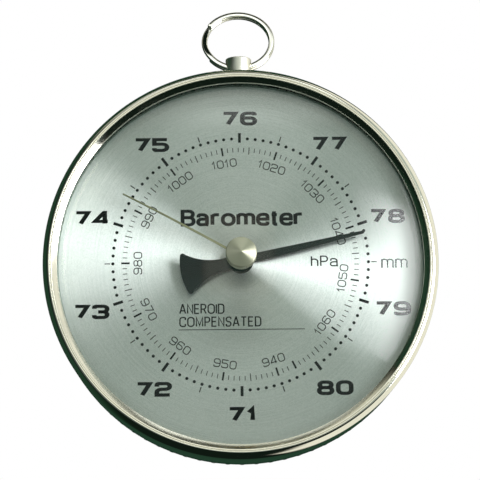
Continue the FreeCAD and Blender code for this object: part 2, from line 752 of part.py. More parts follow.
def gear_teeth(pitch_r, first_angle, step, count):
    """Polygon points of straight-flanked teeth, tooth by tooth, in the clockwise direction."""
    half_pitch = math.pi * MODULE * TOOTH_SHARE / 2
    slope = math.tan(math.radians(20))
    root_r, tip_r = pitch_r - DEDENDUM, pitch_r + ADDENDUM
    root_half = math.degrees((half_pitch + DEDENDUM * slope * 0.5) / root_r)
    tip_half = math.degrees((half_pitch - ADDENDUM * slope) / tip_r)
    points = []
    for n in range(count):
        angle = first_angle + step * n
        points.append((root_r, angle - root_half))
        points.append((tip_r, angle - tip_half))
        points.append((tip_r, angle + tip_half))
        points.append((root_r, angle + root_half))
    return points


def toward_pinion():
    """The clockwise angle of the pointer arbor as seen from the sector's arbor."""
    return math.degrees(math.atan2(-SECTOR_X, -SHAFT_Z))


def sector_gear():
    """The toothed sector at rest, with its hub and the forked tail that the drive pin moves."""
    step = 360 / SECTOR_TEETH
    spare = 2
    turn_low = (POINTER_REST - POINTER_HIGH) / GEAR_RATIO
    turn_high = (POINTER_REST - POINTER_LOW) / GEAR_RATIO
    first = math.floor(-turn_high / step) - spare
    last = math.ceil(-turn_low / step) + spare
    start = toward_pinion() + (first + 0.5) * step
    teeth = gear_teeth(SECTOR_R, start, step, last - first)
    hub = (SECTOR_X, SHAFT_Z)
    rim = [polar(r, a, *hub) for r, a in teeth]
    web = [polar(1.2, teeth[-1][1] + 40, *hub), polar(1.2, teeth[0][1] - 40, *hub)]
    rear, front = SECTOR_MID - SECTOR_THICK / 2, SECTOR_MID + SECTOR_THICK / 2
    body = slab(rim + web, rear, front)
    middle = (teeth[0][1] + teeth[-1][1]) / 2
    for angle in (middle - 7.5, middle + 7.5):
        near, far = polar(9.0, angle, *hub), polar(16.5, angle, *hub)
        body = body.cut(window(near, 0.7, far, 1.6))
    tail = slab([(SECTOR_X, SHAFT_Z - 1.1), (SECTOR_X + 3.6, SHAFT_Z - 1.1),
                 (SECTOR_X + 3.6, SHAFT_Z + 1.1), (SECTOR_X, SHAFT_Z + 1.1)], rear, front)
    tail = spin(tail, SECTOR_REST, *hub)
    boss = tube(1.7, 0, rear - 0.6, front + 0.6, *hub)
    body = body.fuse([tail, boss]).removeSplitter()
    fork_half = DRIVE_R + 0.1
    fork = slab([(SECTOR_X + 1.9, SHAFT_Z - fork_half), (SECTOR_X + 4, SHAFT_Z - fork_half),
                 (SECTOR_X + 4, SHAFT_Z + fork_half), (SECTOR_X + 1.9, SHAFT_Z + fork_half)],
                rear - 1, front + 1)
    return body.cut(spin(fork, SECTOR_REST, *hub)).cut(hole(SECTOR_ARBOR_R, *hub))


def window(near, near_r, far, far_r):
    """A cutter for a tapered window with round ends."""
    ends = tube(near_r, 0, 15, 25, *near).fuse(tube(far_r, 0, 15, 25, *far))
    dx, dz = far[0] - near[0], far[1] - near[1]
    length = math.hypot(dx, dz)
    nx, nz = -dz / length, dx / length
    corners = [
        (near[0] + nx * near_r, near[1] + nz * near_r),
        (far[0] + nx * far_r, far[1] + nz * far_r),
        (far[0] - nx * far_r, far[1] - nz * far_r),
        (near[0] - nx * near_r, near[1] - nz * near_r),
    ]
    return ends.fuse(slab(corners, 15, 25))


def sector_arbor():
    """The sector's arbor with its two pivots."""
    rear, front = PLATE_FRONT + END_GAP, BRIDGE_REAR - END_GAP
    body = tube(SECTOR_ARBOR_R, 0, rear, front, SECTOR_X, SHAFT_Z)
    pivots = tube(PIVOT_R, 0, PLATE_REAR, BRIDGE_FRONT, SECTOR_X, SHAFT_Z)
    return body.fuse(pivots).removeSplitter()


def pinion():
    """The pinion on the pointer arbor, with one tooth in the sector's middle gap at rest."""
    toward_sector = toward_pinion() + 180
    teeth = gear_teeth(PINION_R, toward_sector, 360 / PINION_TEETH, PINION_TEETH)
    points = [polar(r, a) for r, a in teeth]
    body = slab(points, SECTOR_MID - 0.9, SECTOR_MID + 0.9)
    return body.cut(hole(ARBOR_R, 0, 0))


def pointer_arbor():
    """The arbor that carries the pointer: rear pivot, body, and the front end through the dial."""
    pivot = tube(PIVOT_R, 0, PLATE_REAR, PLATE_FRONT + END_GAP)
    body = tube(ARBOR_R, 0, PLATE_FRONT + END_GAP, POINTER_REAR + POINTER_THICK + 0.9)
    return body.fuse(pivot).removeSplitter()


# ---- hairspring ----

def spiral_side(shift):
    """One side of the spiral: half-circle arcs whose centres alternate, each wider than the last."""
    edges = []
    for n in range(HAIR_HALF_TURNS):
        side = 1 if n % 2 == 0 else -1
        centre = -side * HAIR_PITCH / 4
        radius = HAIR_FIRST_R + (n + 0.5) * HAIR_PITCH / 2 + shift
        start = V(centre + side * radius, -HAIR_REAR, 0)
        middle = V(centre, -HAIR_REAR, -side * radius)
        end = V(centre - side * radius, -HAIR_REAR, 0)
        edges.append(Part.Arc(start, middle, end).toShape())
    return edges


def hairspring():
    """The flat spiral that takes up the gears' play."""
    inner, outer = spiral_side(-HAIR_THICK / 2), spiral_side(HAIR_THICK / 2)
    first_x, last_x = HAIR_FIRST_R, -HAIR_LAST_R
    ends = []
    for x in (first_x, last_x):
        low, high = x - HAIR_THICK / 2, x + HAIR_THICK / 2
        ends.append(Part.makeLine(V(low, -HAIR_REAR, 0), V(high, -HAIR_REAR, 0)))
    outline = Part.Wire(Part.__sortEdges__(inner + outer + ends))
    return Part.Face(outline).extrude(V(0, HAIR_REAR - HAIR_FRONT, 0))


def hairspring_collet():
    """The collet that holds the spring's inner end on the arbor."""
    return tube(HAIR_COLLET_R, ARBOR_R, SECTOR_MID + 0.9, HAIR_FRONT + 0.2)


def hairspring_stud():
    """The stud under the bridge that holds the spring's outer end."""
    x = -HAIR_LAST_R - HAIR_THICK / 2 - HAIR_STUD_R
    return tube(HAIR_STUD_R, 0, HAIR_REAR - 0.2, BRIDGE_REAR, x, 0)


# ---- hands ----

def pointer_tail():
    """The fan at the pointer's tail: a waist, flared sides, round corners and a round end."""
    level = -POINTER_REAR

    def p(across, along):
        return V(across, level, -along)

    edges = [Part.makeLine(p(-TAIL_HALF_BASE, 0), p(TAIL_HALF_BASE, 0))]
    shoulders = []
    for side in (-1, 1):
        waist, flare, corner, bend, shoulder = [
            p(side * across, along)
            for across, along in (TAIL_WAIST, TAIL_FLARE, TAIL_CORNER, TAIL_ROUND, TAIL_SHOULDER)
        ]
        edges.append(Part.makeLine(p(side * TAIL_HALF_BASE, 0), waist))
        edges.append(Part.Arc(waist, flare, corner).toShape())
        edges.append(Part.Arc(corner, bend, shoulder).toShape())
        shoulders.append(shoulder)
    edges.append(Part.Arc(shoulders[0], p(0, TAIL_R), shoulders[1]).toShape())
    return Part.Face(Part.Wire(Part.__sortEdges__(edges))).extrude(V(0, -POINTER_THICK, 0))


def needle(half_base, half_tip, length, rear, front):
    """A straight tapered needle with a round tip, pointing up from the axis."""
    blade = slab([(-half_base, 0), (-half_tip, length - half_tip), (half_tip, length - half_tip),
                  (half_base, 0)], rear, front)
    return blade.fuse(tube(half_tip, 0, rear, front, 0, length - half_tip))


def pointer():
    """The black pointer: needle, hub and fan tail in one plate."""
    front = POINTER_REAR + POINTER_THICK
    blade = needle(POINTER_HALF_BASE, POINTER_HALF_TIP, POINTER_TIP, POINTER_REAR, front)
    disc = tube(POINTER_HUB_R, 0, POINTER_REAR, front)
    plate = blade.fuse([disc, pointer_tail()]).removeSplitter()
    return spin(plate.cut(hole(POINTER_BOSS_R, 0, 0)), POINTER_REST)


def pointer_boss():
    """The brass boss riveted into the pointer's hub."""
    rear, front = POINTER_REAR - 1.0, POINTER_REAR + POINTER_THICK + 0.5
    flange = tube(POINTER_BOSS_R + 0.6, 0, rear, POINTER_REAR)
    body = flange.fuse(tube(POINTER_BOSS_R, 0, rear, front)).removeSplitter()
    return body.cut(hole(ARBOR_R, 0, 0))


def set_hand():
    """The thin brass reminder hand, bowed to follow the inside of the dome."""
    front = DOME_INNER_FRONT
    blade = needle(HAND_HALF_BASE, HAND_HALF_TIP, HAND_TIP, DIAL_FRONT, front)
    flat = blade.fuse(tube(HAND_EYE_R, 0, DIAL_FRONT, front)).removeSplitter()
    centre = V(0, -DOME_CENTRE, 0)
    outer = Part.makeSphere(DOME_INNER_R - HAND_GAP, centre)
    inner = Part.makeSphere(DOME_INNER_R - HAND_GAP - HAND_THICK, centre)
    bowed = flat.common(outer).cut(inner).cut(hole(KNOB_SHAFT_R, 0, 0))
    return spin(bowed, SET_HAND_REST)


def set_hand_bush():
    """The bush that fixes the set hand on the knob's shaft."""
    return tube(2.0, KNOB_SHAFT_R, HAND_BUSH_REAR, HAND_REAR)


def friction_washer():
    """The thin washer between the set hand and the crystal."""
    rear, front = DOME_INNER_FRONT - HAND_GAP + 0.02, DOME_INNER_FRONT - 0.07
    return tube(HAND_EYE_R + 0.3, KNOB_SHAFT_R + FIT_GAP, rear, front)


def knob_shaft():
    """The shaft through the crystal, with a riveted rear end behind the bush."""
    shaft = tube(KNOB_SHAFT_R, 0, HAND_BUSH_REAR, KNOB_REAR + 2.4)
    return shaft.fuse(tube(1.7, 0, HAND_BUSH_REAR - 0.4, HAND_BUSH_REAR)).removeSplitter()


def knob_washer():
    """The bright washer between the knob and the crystal."""
    return tube(WASHER_R, KNOB_SHAFT_R, WASHER_REAR, WASHER_FRONT)


def knob():
    """The turned knob: coned face, finely knurled edge, narrower back and a blind bore."""
    root = KNOB_R - 0.22
    core = turned([
        (0, WASHER_FRONT),
        (KNOB_BACK_R, WASHER_FRONT),
        (KNOB_BACK_R, KNOB_REAR),
        (root, KNOB_REAR),
        (root, KNOB_RIM - 0.1),
        (root - 0.1, KNOB_RIM),
        (0.25, KNOB_APEX - 0.05),
        (0, KNOB_APEX),
    ])
    edge = knurled(KNOB_TEETH, root - 0.05, KNOB_R, KNOB_REAR + 0.2, KNOB_RIM - 0.25, 0.3)
    return core.fuse(edge).cut(tube(KNOB_SHAFT_R, 0, WASHER_FRONT, KNOB_REAR + 2.4))


PIECES = [
    case_drum, bezel_ring, rear_cover, crystal, crystal_gasket, spacer_ring, dial_plate,
    hanger_stud, hanger_collar, hanger_saddle, hanger_nut, split_ring,
    base_plate, movement_plate, movement_pillars, dial_pillars,
    base_screws, movement_screws, dial_pillar_screws, bridge, bridge_screws, arbor_bushes,
    capsule_base, capsule_diaphragm, capsule_seat, capsule_post, adjusting_screw, adjusting_lock_nut,
    shaft_ears, ear_screws, rocking_shaft, contact_arm, drive_arm, counterweight,
    sector_gear, sector_arbor, pinion, pointer_arbor, hairspring, hairspring_collet, hairspring_stud,
    pointer, pointer_boss, set_hand, set_hand_bush, friction_washer, knob_shaft, knob_washer, knob,
]

os.makedirs("parts", exist_ok=True)
for piece in PIECES:
    save(piece.__name__, piece())
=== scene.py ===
"""Looks of the round aneroid barometer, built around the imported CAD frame.

Frame: +Z up, the dial faces -Y, and the origin is the centre of the rear cover's flat back.
Lengths in the shape code are millimetres: a "front" is a distance in front of the back plane,
and angles are clockwise from the top as seen from the front.
"""

import bmesh
import bpy
import math
from mathutils import Matrix, Vector


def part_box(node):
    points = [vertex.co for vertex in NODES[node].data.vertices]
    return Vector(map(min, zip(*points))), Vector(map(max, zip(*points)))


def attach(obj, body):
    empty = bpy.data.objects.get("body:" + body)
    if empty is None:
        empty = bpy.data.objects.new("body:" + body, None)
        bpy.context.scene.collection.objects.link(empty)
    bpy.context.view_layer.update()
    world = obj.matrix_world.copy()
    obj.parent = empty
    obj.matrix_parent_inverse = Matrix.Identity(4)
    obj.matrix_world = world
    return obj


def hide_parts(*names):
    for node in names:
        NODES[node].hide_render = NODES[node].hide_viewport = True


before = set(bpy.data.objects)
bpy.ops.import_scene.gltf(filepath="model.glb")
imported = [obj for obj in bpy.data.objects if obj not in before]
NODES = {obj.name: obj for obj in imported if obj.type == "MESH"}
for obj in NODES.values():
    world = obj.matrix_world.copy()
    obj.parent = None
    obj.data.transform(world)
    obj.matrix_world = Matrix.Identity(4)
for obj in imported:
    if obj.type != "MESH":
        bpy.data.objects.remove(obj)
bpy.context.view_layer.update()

MM = 0.001


# ---- sizes read from the frame ----

def fronts(node):
    """The rear and front of a CAD node, as fronts."""
    low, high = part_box(node)
    return -high.y / MM, -low.y / MM


def outer_radius(node):
    """The largest radius of a CAD node that is round about the case's axis."""
    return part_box(node)[1].x / MM


CASE_R = outer_radius("case_drum")
COVER_FRONT, DRUM_FRONT = fronts("case_drum")
BEZEL_REAR, BEZEL_FRONT = fronts("bezel_ring")
DIAL_REAR, DIAL_FRONT = fronts("dial_plate")
CRYSTAL_REAR, CRYSTAL_FRONT = fronts("crystal")
CRYSTAL_R = outer_radius("crystal")
GASKET_FRONT = fronts("crystal_gasket")[1]
POINTER_REAR, POINTER_FRONT = fronts("pointer")
KNOB_BACK, KNOB_APEX = fronts("knob")
KNOB_R = outer_radius("knob")
STUD_FRONT = sum(fronts("hanger_stud")) / 2
STUD_R = outer_radius("hanger_stud")
STUD_END, STUD_TOP = (corner.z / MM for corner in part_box("hanger_stud"))

# ---- sizes that the frame's boxes don't give ----
DRUM_INNER_R = 63.0
SPIGOT_R = 62.95
LEDGE_R = 60.6
LEDGE_HEIGHT = 1.8
LIP_OUTER_R = 63.1
LIP_INNER_R = 61.9
LIP_GROOVE = 0.28
LIP_EDGE = 0.25
LIP_DRAFT = 0.03
LIP_RIDGE_HALF = 0.1
SHOULDER_RISE = 1.4
SHOULDER_BULGE = (0.62, 2.57)
STRIP_WIDTH = 0.45
STRIP_DROP = 0.15
SIGHT_R = 60.2
BEVEL_FOOT = 29.4
SEAT_R = 61.6
COVER_ROOT_R = 64.1
COVER_TEETH = 84
COVER_POCKET_R = 60.4
COVER_WEB = 2.4
COVER_SPIGOT = 2.2
COVER_GROOVE_R = 53.0
COVER_GROOVE_WIDE = 1.0
COVER_GROOVE_DEEP = 0.4
COVER_STEP_R = 63.9
COVER_STEP_FRONT = 2.1
VENT_PLACES = (-15, -9, -3, 3, 9, 15)
VENT_LOW = -31
VENT_HIGH = -17
VENT_HALF_WIDTH = 1.0
ACCESS_R = 3.2
CRYSTAL_THICK = 1.8
DOME_R = 59.4
DOME_RISE = CRYSTAL_FRONT - CRYSTAL_REAR - CRYSTAL_THICK
DOME_INNER_R = (DOME_R ** 2 + DOME_RISE ** 2) / (2 * DOME_RISE)
DOME_CENTRE = CRYSTAL_REAR + DOME_RISE - DOME_INNER_R
DIAL_HOLE_R = 2.6
ADJUSTER_X = -8.0
SHAFT_R = 1.2
KNOB_RIM = KNOB_APEX - 1.4
KNOB_SKIRT = KNOB_BACK + 0.4
KNOB_ROOT_R = KNOB_R - 0.22
KNOB_TEETH = 50
KNOB_NECK_R = 4.0
KNOB_BORE = 2.4
STUD_FOOT = 66.5
SHANK_R = 2.5
RING_HOLE_Z = 69.4
RING_HOLE_R = 1.8
RING_MID_R = 11.6
RING_WIDE = 2.0
RING_THICK = 1.1
RING_LEAN = 20.5
RING_END_ANGLE = -92.0
RING_CROSSING = 70.0
POINTER_REST = 77.0
SET_HAND_REST = -60.0
HAND_GAP = 0.45
HAND_THICK = 0.35
BORE_GAP = 0.05
SMOOTH_ANGLE = 35


# ---- flat geometry ----

def polar(radius, angle):
    """The (x, z) point at a clockwise angle from the top."""
    a = math.radians(angle)
    return radius * math.sin(a), radius * math.cos(a)


def arc_through(a, b, c, steps=10):
    """Points of the circular arc from a through b to c, both ends included."""
    (ax, ay), (bx, by), (cx, cy) = a, b, c
    d = 2 * (ax * (by - cy) + bx * (cy - ay) + cx * (ay - by))
    aa, bb, cc = ax * ax + ay * ay, bx * bx + by * by, cx * cx + cy * cy
    ux = (aa * (by - cy) + bb * (cy - ay) + cc * (ay - by)) / d
    uy = (aa * (cx - bx) + bb * (ax - cx) + cc * (bx - ax)) / d
    radius = math.hypot(ax - ux, ay - uy)
    start = math.atan2(ay - uy, ax - ux)
    middle = (math.atan2(by - uy, bx - ux) - start) % math.tau
    sweep = (math.atan2(cy - uy, cx - ux) - start) % math.tau
    if middle > sweep:
        sweep -= math.tau
    return [(ux + radius * math.cos(start + sweep * n / steps),
             uy + radius * math.sin(start + sweep * n / steps)) for n in range(steps + 1)]


def rounded(points, closed=True, steps=4):
    """The outline with arcs at its corners. A point is (x, y) or (x, y, corner radius)."""
    result = []
    last = len(points) - 1
    for n, point in enumerate(points):
        here = Vector(point[:2])
        radius = point[2] if len(point) > 2 else 0.0
        if radius == 0 or (not closed and n in (0, last)):
            result.append(tuple(here))
            continue
        before = Vector(points[n - 1][:2]) - here
        after = Vector(points[(n + 1) % len(points)][:2]) - here
        half = before.angle(after) / 2
        reach = min(radius / math.tan(half), before.length * 0.49, after.length * 0.49)
        true_radius = reach * math.tan(half)
        before.normalize()
        after.normalize()
        centre = here + (before + after).normalized() * (true_radius / math.sin(half))
        start, end = here + before * reach - centre, here + after * reach - centre
        turn = math.atan2(start.x * end.y - start.y * end.x, start.dot(end))
        for k in range(steps + 1):
            result.append(tuple(centre + Matrix.Rotation(turn * k / steps, 2) @ start))
    return result


def inset(loop, distance):
    """A closed counter-clockwise loop moved inward by a distance."""
    result = []
    for n, point in enumerate(loop):
        before = (Vector(point) - Vector(loop[n - 1])).normalized()
        after = (Vector(loop[(n + 1) % len(loop)]) - Vector(point)).normalized()
        normal = Vector((-before.y - after.y, before.x + after.x)).normalized()
        spread = max(0.5, normal.dot(Vector((-before.y, before.x))))
        result.append(tuple(Vector(point) + normal * (distance / spread)))
    return result


# ---- meshes ----

def on_case(r, h, angle):
    """A turned point about the case's axis; h is a front."""
    return r * math.sin(angle), -h, r * math.cos(angle)


def on_stud(r, h, angle):
    """A turned point about the hanger stud's upright axis; h is a height."""
    return r * math.sin(angle), -STUD_FRONT - r * math.cos(angle), h


def finish_mesh(name, mesh, smooth=SMOOTH_ANGLE):
    """A mesh object from a bmesh in millimetres, shaded smooth except over sharp edges."""
    bmesh.ops.recalc_face_normals(mesh, faces=mesh.faces)
    bmesh.ops.scale(mesh, vec=(MM, MM, MM), verts=mesh.verts)
    data = bpy.data.meshes.new(name)
    mesh.to_mesh(data)
    mesh.free()
    data.polygons.foreach_set("use_smooth", [True] * len(data.polygons))
    data.set_sharp_from_angle(angle=math.radians(smooth))
    piece = bpy.data.objects.new(name, data)
    bpy.context.scene.collection.objects.link(piece)
    return piece


def lathe(name, profile, steps=256, place=on_case, teeth=0, root=0.0):
    """A turned solid from a closed profile of (radius, height) points.

    With teeth, every radius beyond the root radius rises and falls as a row of straight ridges.
    """
    mesh = bmesh.new()
    rings = []
    for r, h in profile:
        if r < 1e-6:
            rings.append([mesh.verts.new(place(0, h, 0))])
            continue
        ring = []
        for n in range(steps):
            angle = math.tau * n / steps
            radius = r
            if teeth and r > root:
                radius = root + (r - root) * ridge(angle * teeth / math.tau)
            ring.append(mesh.verts.new(place(radius, h, angle)))
        rings.append(ring)
    for n, ring in enumerate(rings):
        other = rings[(n + 1) % len(rings)]
        if len(ring) == 1 and len(other) == 1:
            continue
        for k in range(steps):
            corners = [ring[k % len(ring)], ring[(k + 1) % len(ring)],
                       other[(k + 1) % len(other)], other[k % len(other)]]
            mesh.faces.new(list(dict.fromkeys(corners)))
    return finish_mesh(name, mesh)


def ridge(turns):
    """The height, 0 to 1, of a rounded knurl ridge, one ridge per turn."""
    wave = 0.5 + 0.5 * math.cos(math.tau * turns)
    return wave * wave * (3 - 2 * wave)


def add_prism(mesh, loops, bottom, top, place, bevel=0.0):
    """Adds a flat solid to a bmesh: loops[0] is its outline and the rest are its holes."""
    levels = [(bottom, 0.0), (top, 0.0)]
    if bevel:
        levels = [(bottom, bevel), (bottom + bevel, 0.0), (top - bevel, 0.0), (top, bevel)]
    rims = {bottom: [], top: []}
    for loop in loops:
        rings = []
        for level, inward in levels:
            shifted = loop if inward == 0 else inset(loop, inward)
            rings.append([mesh.verts.new(place(x, y, level)) for x, y in shifted])
        for low, high in zip(rings, rings[1:]):
            for k in range(len(loop)):
                j = (k + 1) % len(loop)
                mesh.faces.new((low[k], low[j], high[j], high[k]))
        rims[bottom].append(rings[0])
        rims[top].append(rings[-1])
    for rings in rims.values():
        edges = []
        for ring in rings:
            edges += [mesh.edges.get((ring[k - 1], ring[k])) for k in range(len(ring))]
        bmesh.ops.triangle_fill(mesh, use_beauty=True, edges=edges)


def plate(name, loops, rear, front, turn=0.0, bevel=0.05, lift=None):
    """A flat plate between two fronts from outlines that point up, turned clockwise about the axis."""
    a = math.radians(turn)

    def place(x, z, level):
        rise = lift(math.hypot(x, z)) if lift else 0.0
        return (x * math.cos(a) + z * math.sin(a), -level - rise,
                z * math.cos(a) - x * math.sin(a))

    mesh = bmesh.new()
    add_prism(mesh, loops, rear, front, place, bevel)
    return finish_mesh(name, mesh, 40)


def circle(radius, steps=48, clockwise=False):
    """A closed ring of points about the origin."""
    sense = -1 if clockwise else 1
    return [(radius * math.cos(sense * math.tau * n / steps),
             radius * math.sin(sense * math.tau * n / steps)) for n in range(steps)]


def carve(piece, cutters):
    """Cuts other objects out of a piece and removes them."""
    for cutter in cutters:
        change = piece.modifiers.new("cut", "BOOLEAN")
        change.operation = "DIFFERENCE"
        change.solver = "EXACT"
        change.object = cutter
    graph = bpy.context.evaluated_depsgraph_get()
    data = bpy.data.meshes.new_from_object(piece.evaluated_get(graph))
    piece.modifiers.clear()
    piece.data = data
    data.set_sharp_from_angle(angle=math.radians(SMOOTH_ANGLE))
    for cutter in cutters:
        bpy.data.objects.remove(cutter)


def dress(piece, body, slot, material, *nodes):
    """Gives a piece its body, its material and the CAD nodes that it stands for; the slot argument is not
    used.
    """
    piece.data.materials.clear()
    piece.data.materials.append(material)
    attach(piece, body)
    if nodes:
        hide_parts(*nodes)


# ---- material nodes ----

def start_material(name, colour, metallic, roughness):
    """A new material: its node tree and its Principled shader."""
    material = bpy.data.materials.new(name)
    material.use_nodes = True
    tree = material.node_tree
    shader = tree.nodes["Principled BSDF"]
    shader.inputs["Base Color"].default_value = (*colour, 1)
    shader.inputs["Metallic"].default_value = metallic
    shader.inputs["Roughness"].default_value = roughness
    return material, tree, shader


def feed(tree, value, socket):
    """Links a socket, or sets a plain value."""
    if isinstance(value, bpy.types.NodeSocket):
        tree.links.new(value, socket)
    else:
        socket.default_value = value


def math_node(tree, operation, first, second=0.0):
    """The output of a Math node."""
    node = tree.nodes.new("ShaderNodeMath")
    node.operation = operation
    feed(tree, first, node.inputs[0])
    feed(tree, second, node.inputs[1])
    return node.outputs[0]


def blend_range(tree, value, low, high, to_low=0.0, to_high=1.0, smooth=True):
    """A value carried from one range to another, held at both ends."""
    node = tree.nodes.new("ShaderNodeMapRange")
    node.interpolation_type = "SMOOTHSTEP" if smooth else "LINEAR"
    feed(tree, value, node.inputs["Value"])
    node.inputs["From Min"].default_value = low
    node.inputs["From Max"].default_value = high
    node.inputs["To Min"].default_value = to_low
    node.inputs["To Max"].default_value = to_high
    return node.outputs["Result"]


def place_in_mm(tree):
    """The point on the piece, in millimetres, in the shared frame at rest."""
    where = tree.nodes.new("ShaderNodeTexCoord").outputs["Object"]
    scale = tree.nodes.new("ShaderNodeVectorMath")
    scale.operation = "SCALE"
    tree.links.new(where, scale.inputs[0])
    scale.inputs["Scale"].default_value = 1 / MM
    return scale.outputs[0]


def turned_place(tree, across, along):
    """Coordinates for marks left by turning: fine across the radius, long round the axis."""
    split = tree.nodes.new("ShaderNodeSeparateXYZ")
    tree.links.new(place_in_mm(tree), split.inputs[0])
    x, z = split.outputs["X"], split.outputs["Z"]
    x_squared, z_squared = math_node(tree, "MULTIPLY", x, x), math_node(tree, "MULTIPLY", z, z)
    radius = math_node(tree, "SQRT", math_node(tree, "ADD", x_squared, z_squared))
    join = tree.nodes.new("ShaderNodeCombineXYZ")
    feed(tree, math_node(tree, "MULTIPLY", radius, across), join.inputs[0])
    feed(tree, math_node(tree, "MULTIPLY", x, along), join.inputs[1])
    feed(tree, math_node(tree, "MULTIPLY", z, along), join.inputs[2])
    return join.outputs[0]


def noise(tree, where, scale, detail=3.0, rough=0.55):
    """The grey value of a noise texture."""
    node = tree.nodes.new("ShaderNodeTexNoise")
    tree.links.new(where, node.inputs["Vector"])
    node.inputs["Scale"].default_value = scale
    node.inputs["Detail"].default_value = detail
    node.inputs["Roughness"].default_value = rough
    return node.outputs["Fac"]


def tint(tree, shader, factor, first, second):
    """Base colour between two colours by a factor."""
    node = tree.nodes.new("ShaderNodeMix")
    node.data_type = "RGBA"
    feed(tree, factor, node.inputs["Factor"])
    node.inputs["A"].default_value = (*first, 1)
    node.inputs["B"].default_value = (*second, 1)
    tree.links.new(node.outputs["Result"], shader.inputs["Base Color"])


def relief(tree, shader, height, depth):
    """Bump from a height, with its depth in millimetres."""
    node = tree.nodes.new("ShaderNodeBump")
    node.inputs["Strength"].default_value = 1.0
    node.inputs["Distance"].default_value = depth * MM
    feed(tree, height, node.inputs["Height"])
    tree.links.new(node.outputs["Normal"], shader.inputs["Normal"])


def round_grain(tree, shader, amount):
    """Stretches highlights across marks that run round the case's axis."""
    shader.inputs["Anisotropic"].default_value = amount
    shader.inputs["Anisotropic Rotation"].default_value = 0.25
    tangent = tree.nodes.new("ShaderNodeTangent")
    tangent.direction_type = "RADIAL"
    tangent.axis = "Y"
    tree.links.new(tangent.outputs[0], shader.inputs["Tangent"])


# ---- materials ----

def polished_nickel(name, colour, roughness):
    """Bright plated metal with faint polishing lines and handling marks."""
    material, tree, shader = start_material(name, colour, 1.0, roughness)
    lines = noise(tree, turned_place(tree, 6.0, 0.12), 1.0, 4)
    smudges = noise(tree, place_in_mm(tree), 0.09, 4)
    wear = blend_range(tree, smudges, 0.35, 0.7, roughness * 0.75, roughness * 1.7)
    feed(tree, wear, shader.inputs["Roughness"])
    tint(tree, shader, smudges, colour, [c * 0.93 for c in colour])
    relief(tree, shader, lines, 0.0012)
    return material


def brushed_dial():
    """Silver anodised dial, brushed in circles, with a fine grain."""
    silver, cool = (0.97, 1.0, 0.98), (0.77, 0.82, 0.79)
    material, tree, shader = start_material("dial_silver", silver, 1.0, 0.48)
    lines = noise(tree, turned_place(tree, 3.0, 0.04), 1.0, 6, 0.75)
    grain = noise(tree, place_in_mm(tree), 2.6, 3, 0.7)
    both = math_node(tree, "MULTIPLY", math_node(tree, "ADD", lines, grain), 0.5)
    tint(tree, shader, blend_range(tree, both, 0.38, 0.62), cool, silver)
    feed(tree, blend_range(tree, lines, 0.3, 0.7, 0.44, 0.52), shader.inputs["Roughness"])
    relief(tree, shader, both, 0.004)
    round_grain(tree, shader, 1.0)
    return material


def turned_knob():
    """The knob's face: warm nickel with the marks of the lathe tool."""
    warm = (0.57, 0.57, 0.44)
    material, tree, shader = start_material("knob_nickel", warm, 1.0, 0.42)
    lines = noise(tree, turned_place(tree, 14.0, 0.2), 1.0, 3)
    tint(tree, shader, lines, warm, [c * 0.86 for c in warm])
    feed(tree, blend_range(tree, lines, 0.3, 0.7, 0.36, 0.48), shader.inputs["Roughness"])
    relief(tree, shader, lines, 0.004)
    round_grain(tree, shader, 0.8)
    return material


def printed_ink():
    """Screen-printed black ink, a little uneven."""
    material, tree, shader = start_material("dial_ink", (0.002, 0.004, 0.003), 0.0, 0.5)
    shader.inputs["Specular IOR Level"].default_value = 0.1
    body = noise(tree, place_in_mm(tree), 5.0, 3)
    tint(tree, shader, body, (0.001, 0.003, 0.002), (0.003, 0.006, 0.005))
    feed(tree, blend_range(tree, body, 0.3, 0.7, 0.42, 0.6), shader.inputs["Roughness"])
    relief(tree, shader, body, 0.006)
    return material


def satin_black(name, colour, roughness, grain_mm, depth, gloss=0.5):
    """Black paint, rubber or plastic with a fine grain."""
    material, tree, shader = start_material(name, colour, 0.0, roughness)
    shader.inputs["Specular IOR Level"].default_value = gloss
    grain = noise(tree, place_in_mm(tree), 1 / grain_mm, 3)
    patches = noise(tree, place_in_mm(tree), 0.12, 3)
    tint(tree, shader, patches, colour, [c * 1.3 + 0.001 for c in colour])
    wear = blend_range(tree, patches, 0.3, 0.7, roughness * 0.92, roughness * 1.08)
    feed(tree, wear, shader.inputs["Roughness"])
    relief(tree, shader, grain, depth)
    return material


def worked_metal(name, colour, roughness, dark=0.8):
    """Milled or drawn metal with fine straight marks and slight tarnish."""
    material, tree, shader = start_material(name, colour, 1.0, roughness)
    split = tree.nodes.new("ShaderNodeMapping")
    split.inputs["Scale"].default_value = (0.15, 0.6, 7.0)
    tree.links.new(place_in_mm(tree), split.inputs["Vector"])
    marks = noise(tree, split.outputs[0], 1.0, 4)
    tarnish = noise(tree, place_in_mm(tree), 0.18, 4)
    tint(tree, shader, blend_range(tree, tarnish, 0.35, 0.7), colour, [c * dark for c in colour])
    wear = blend_range(tree, marks, 0.3, 0.7, roughness * 0.8, roughness * 1.25)
    feed(tree, wear, shader.inputs["Roughness"])
    relief(tree, shader, marks, 0.003)
    return material


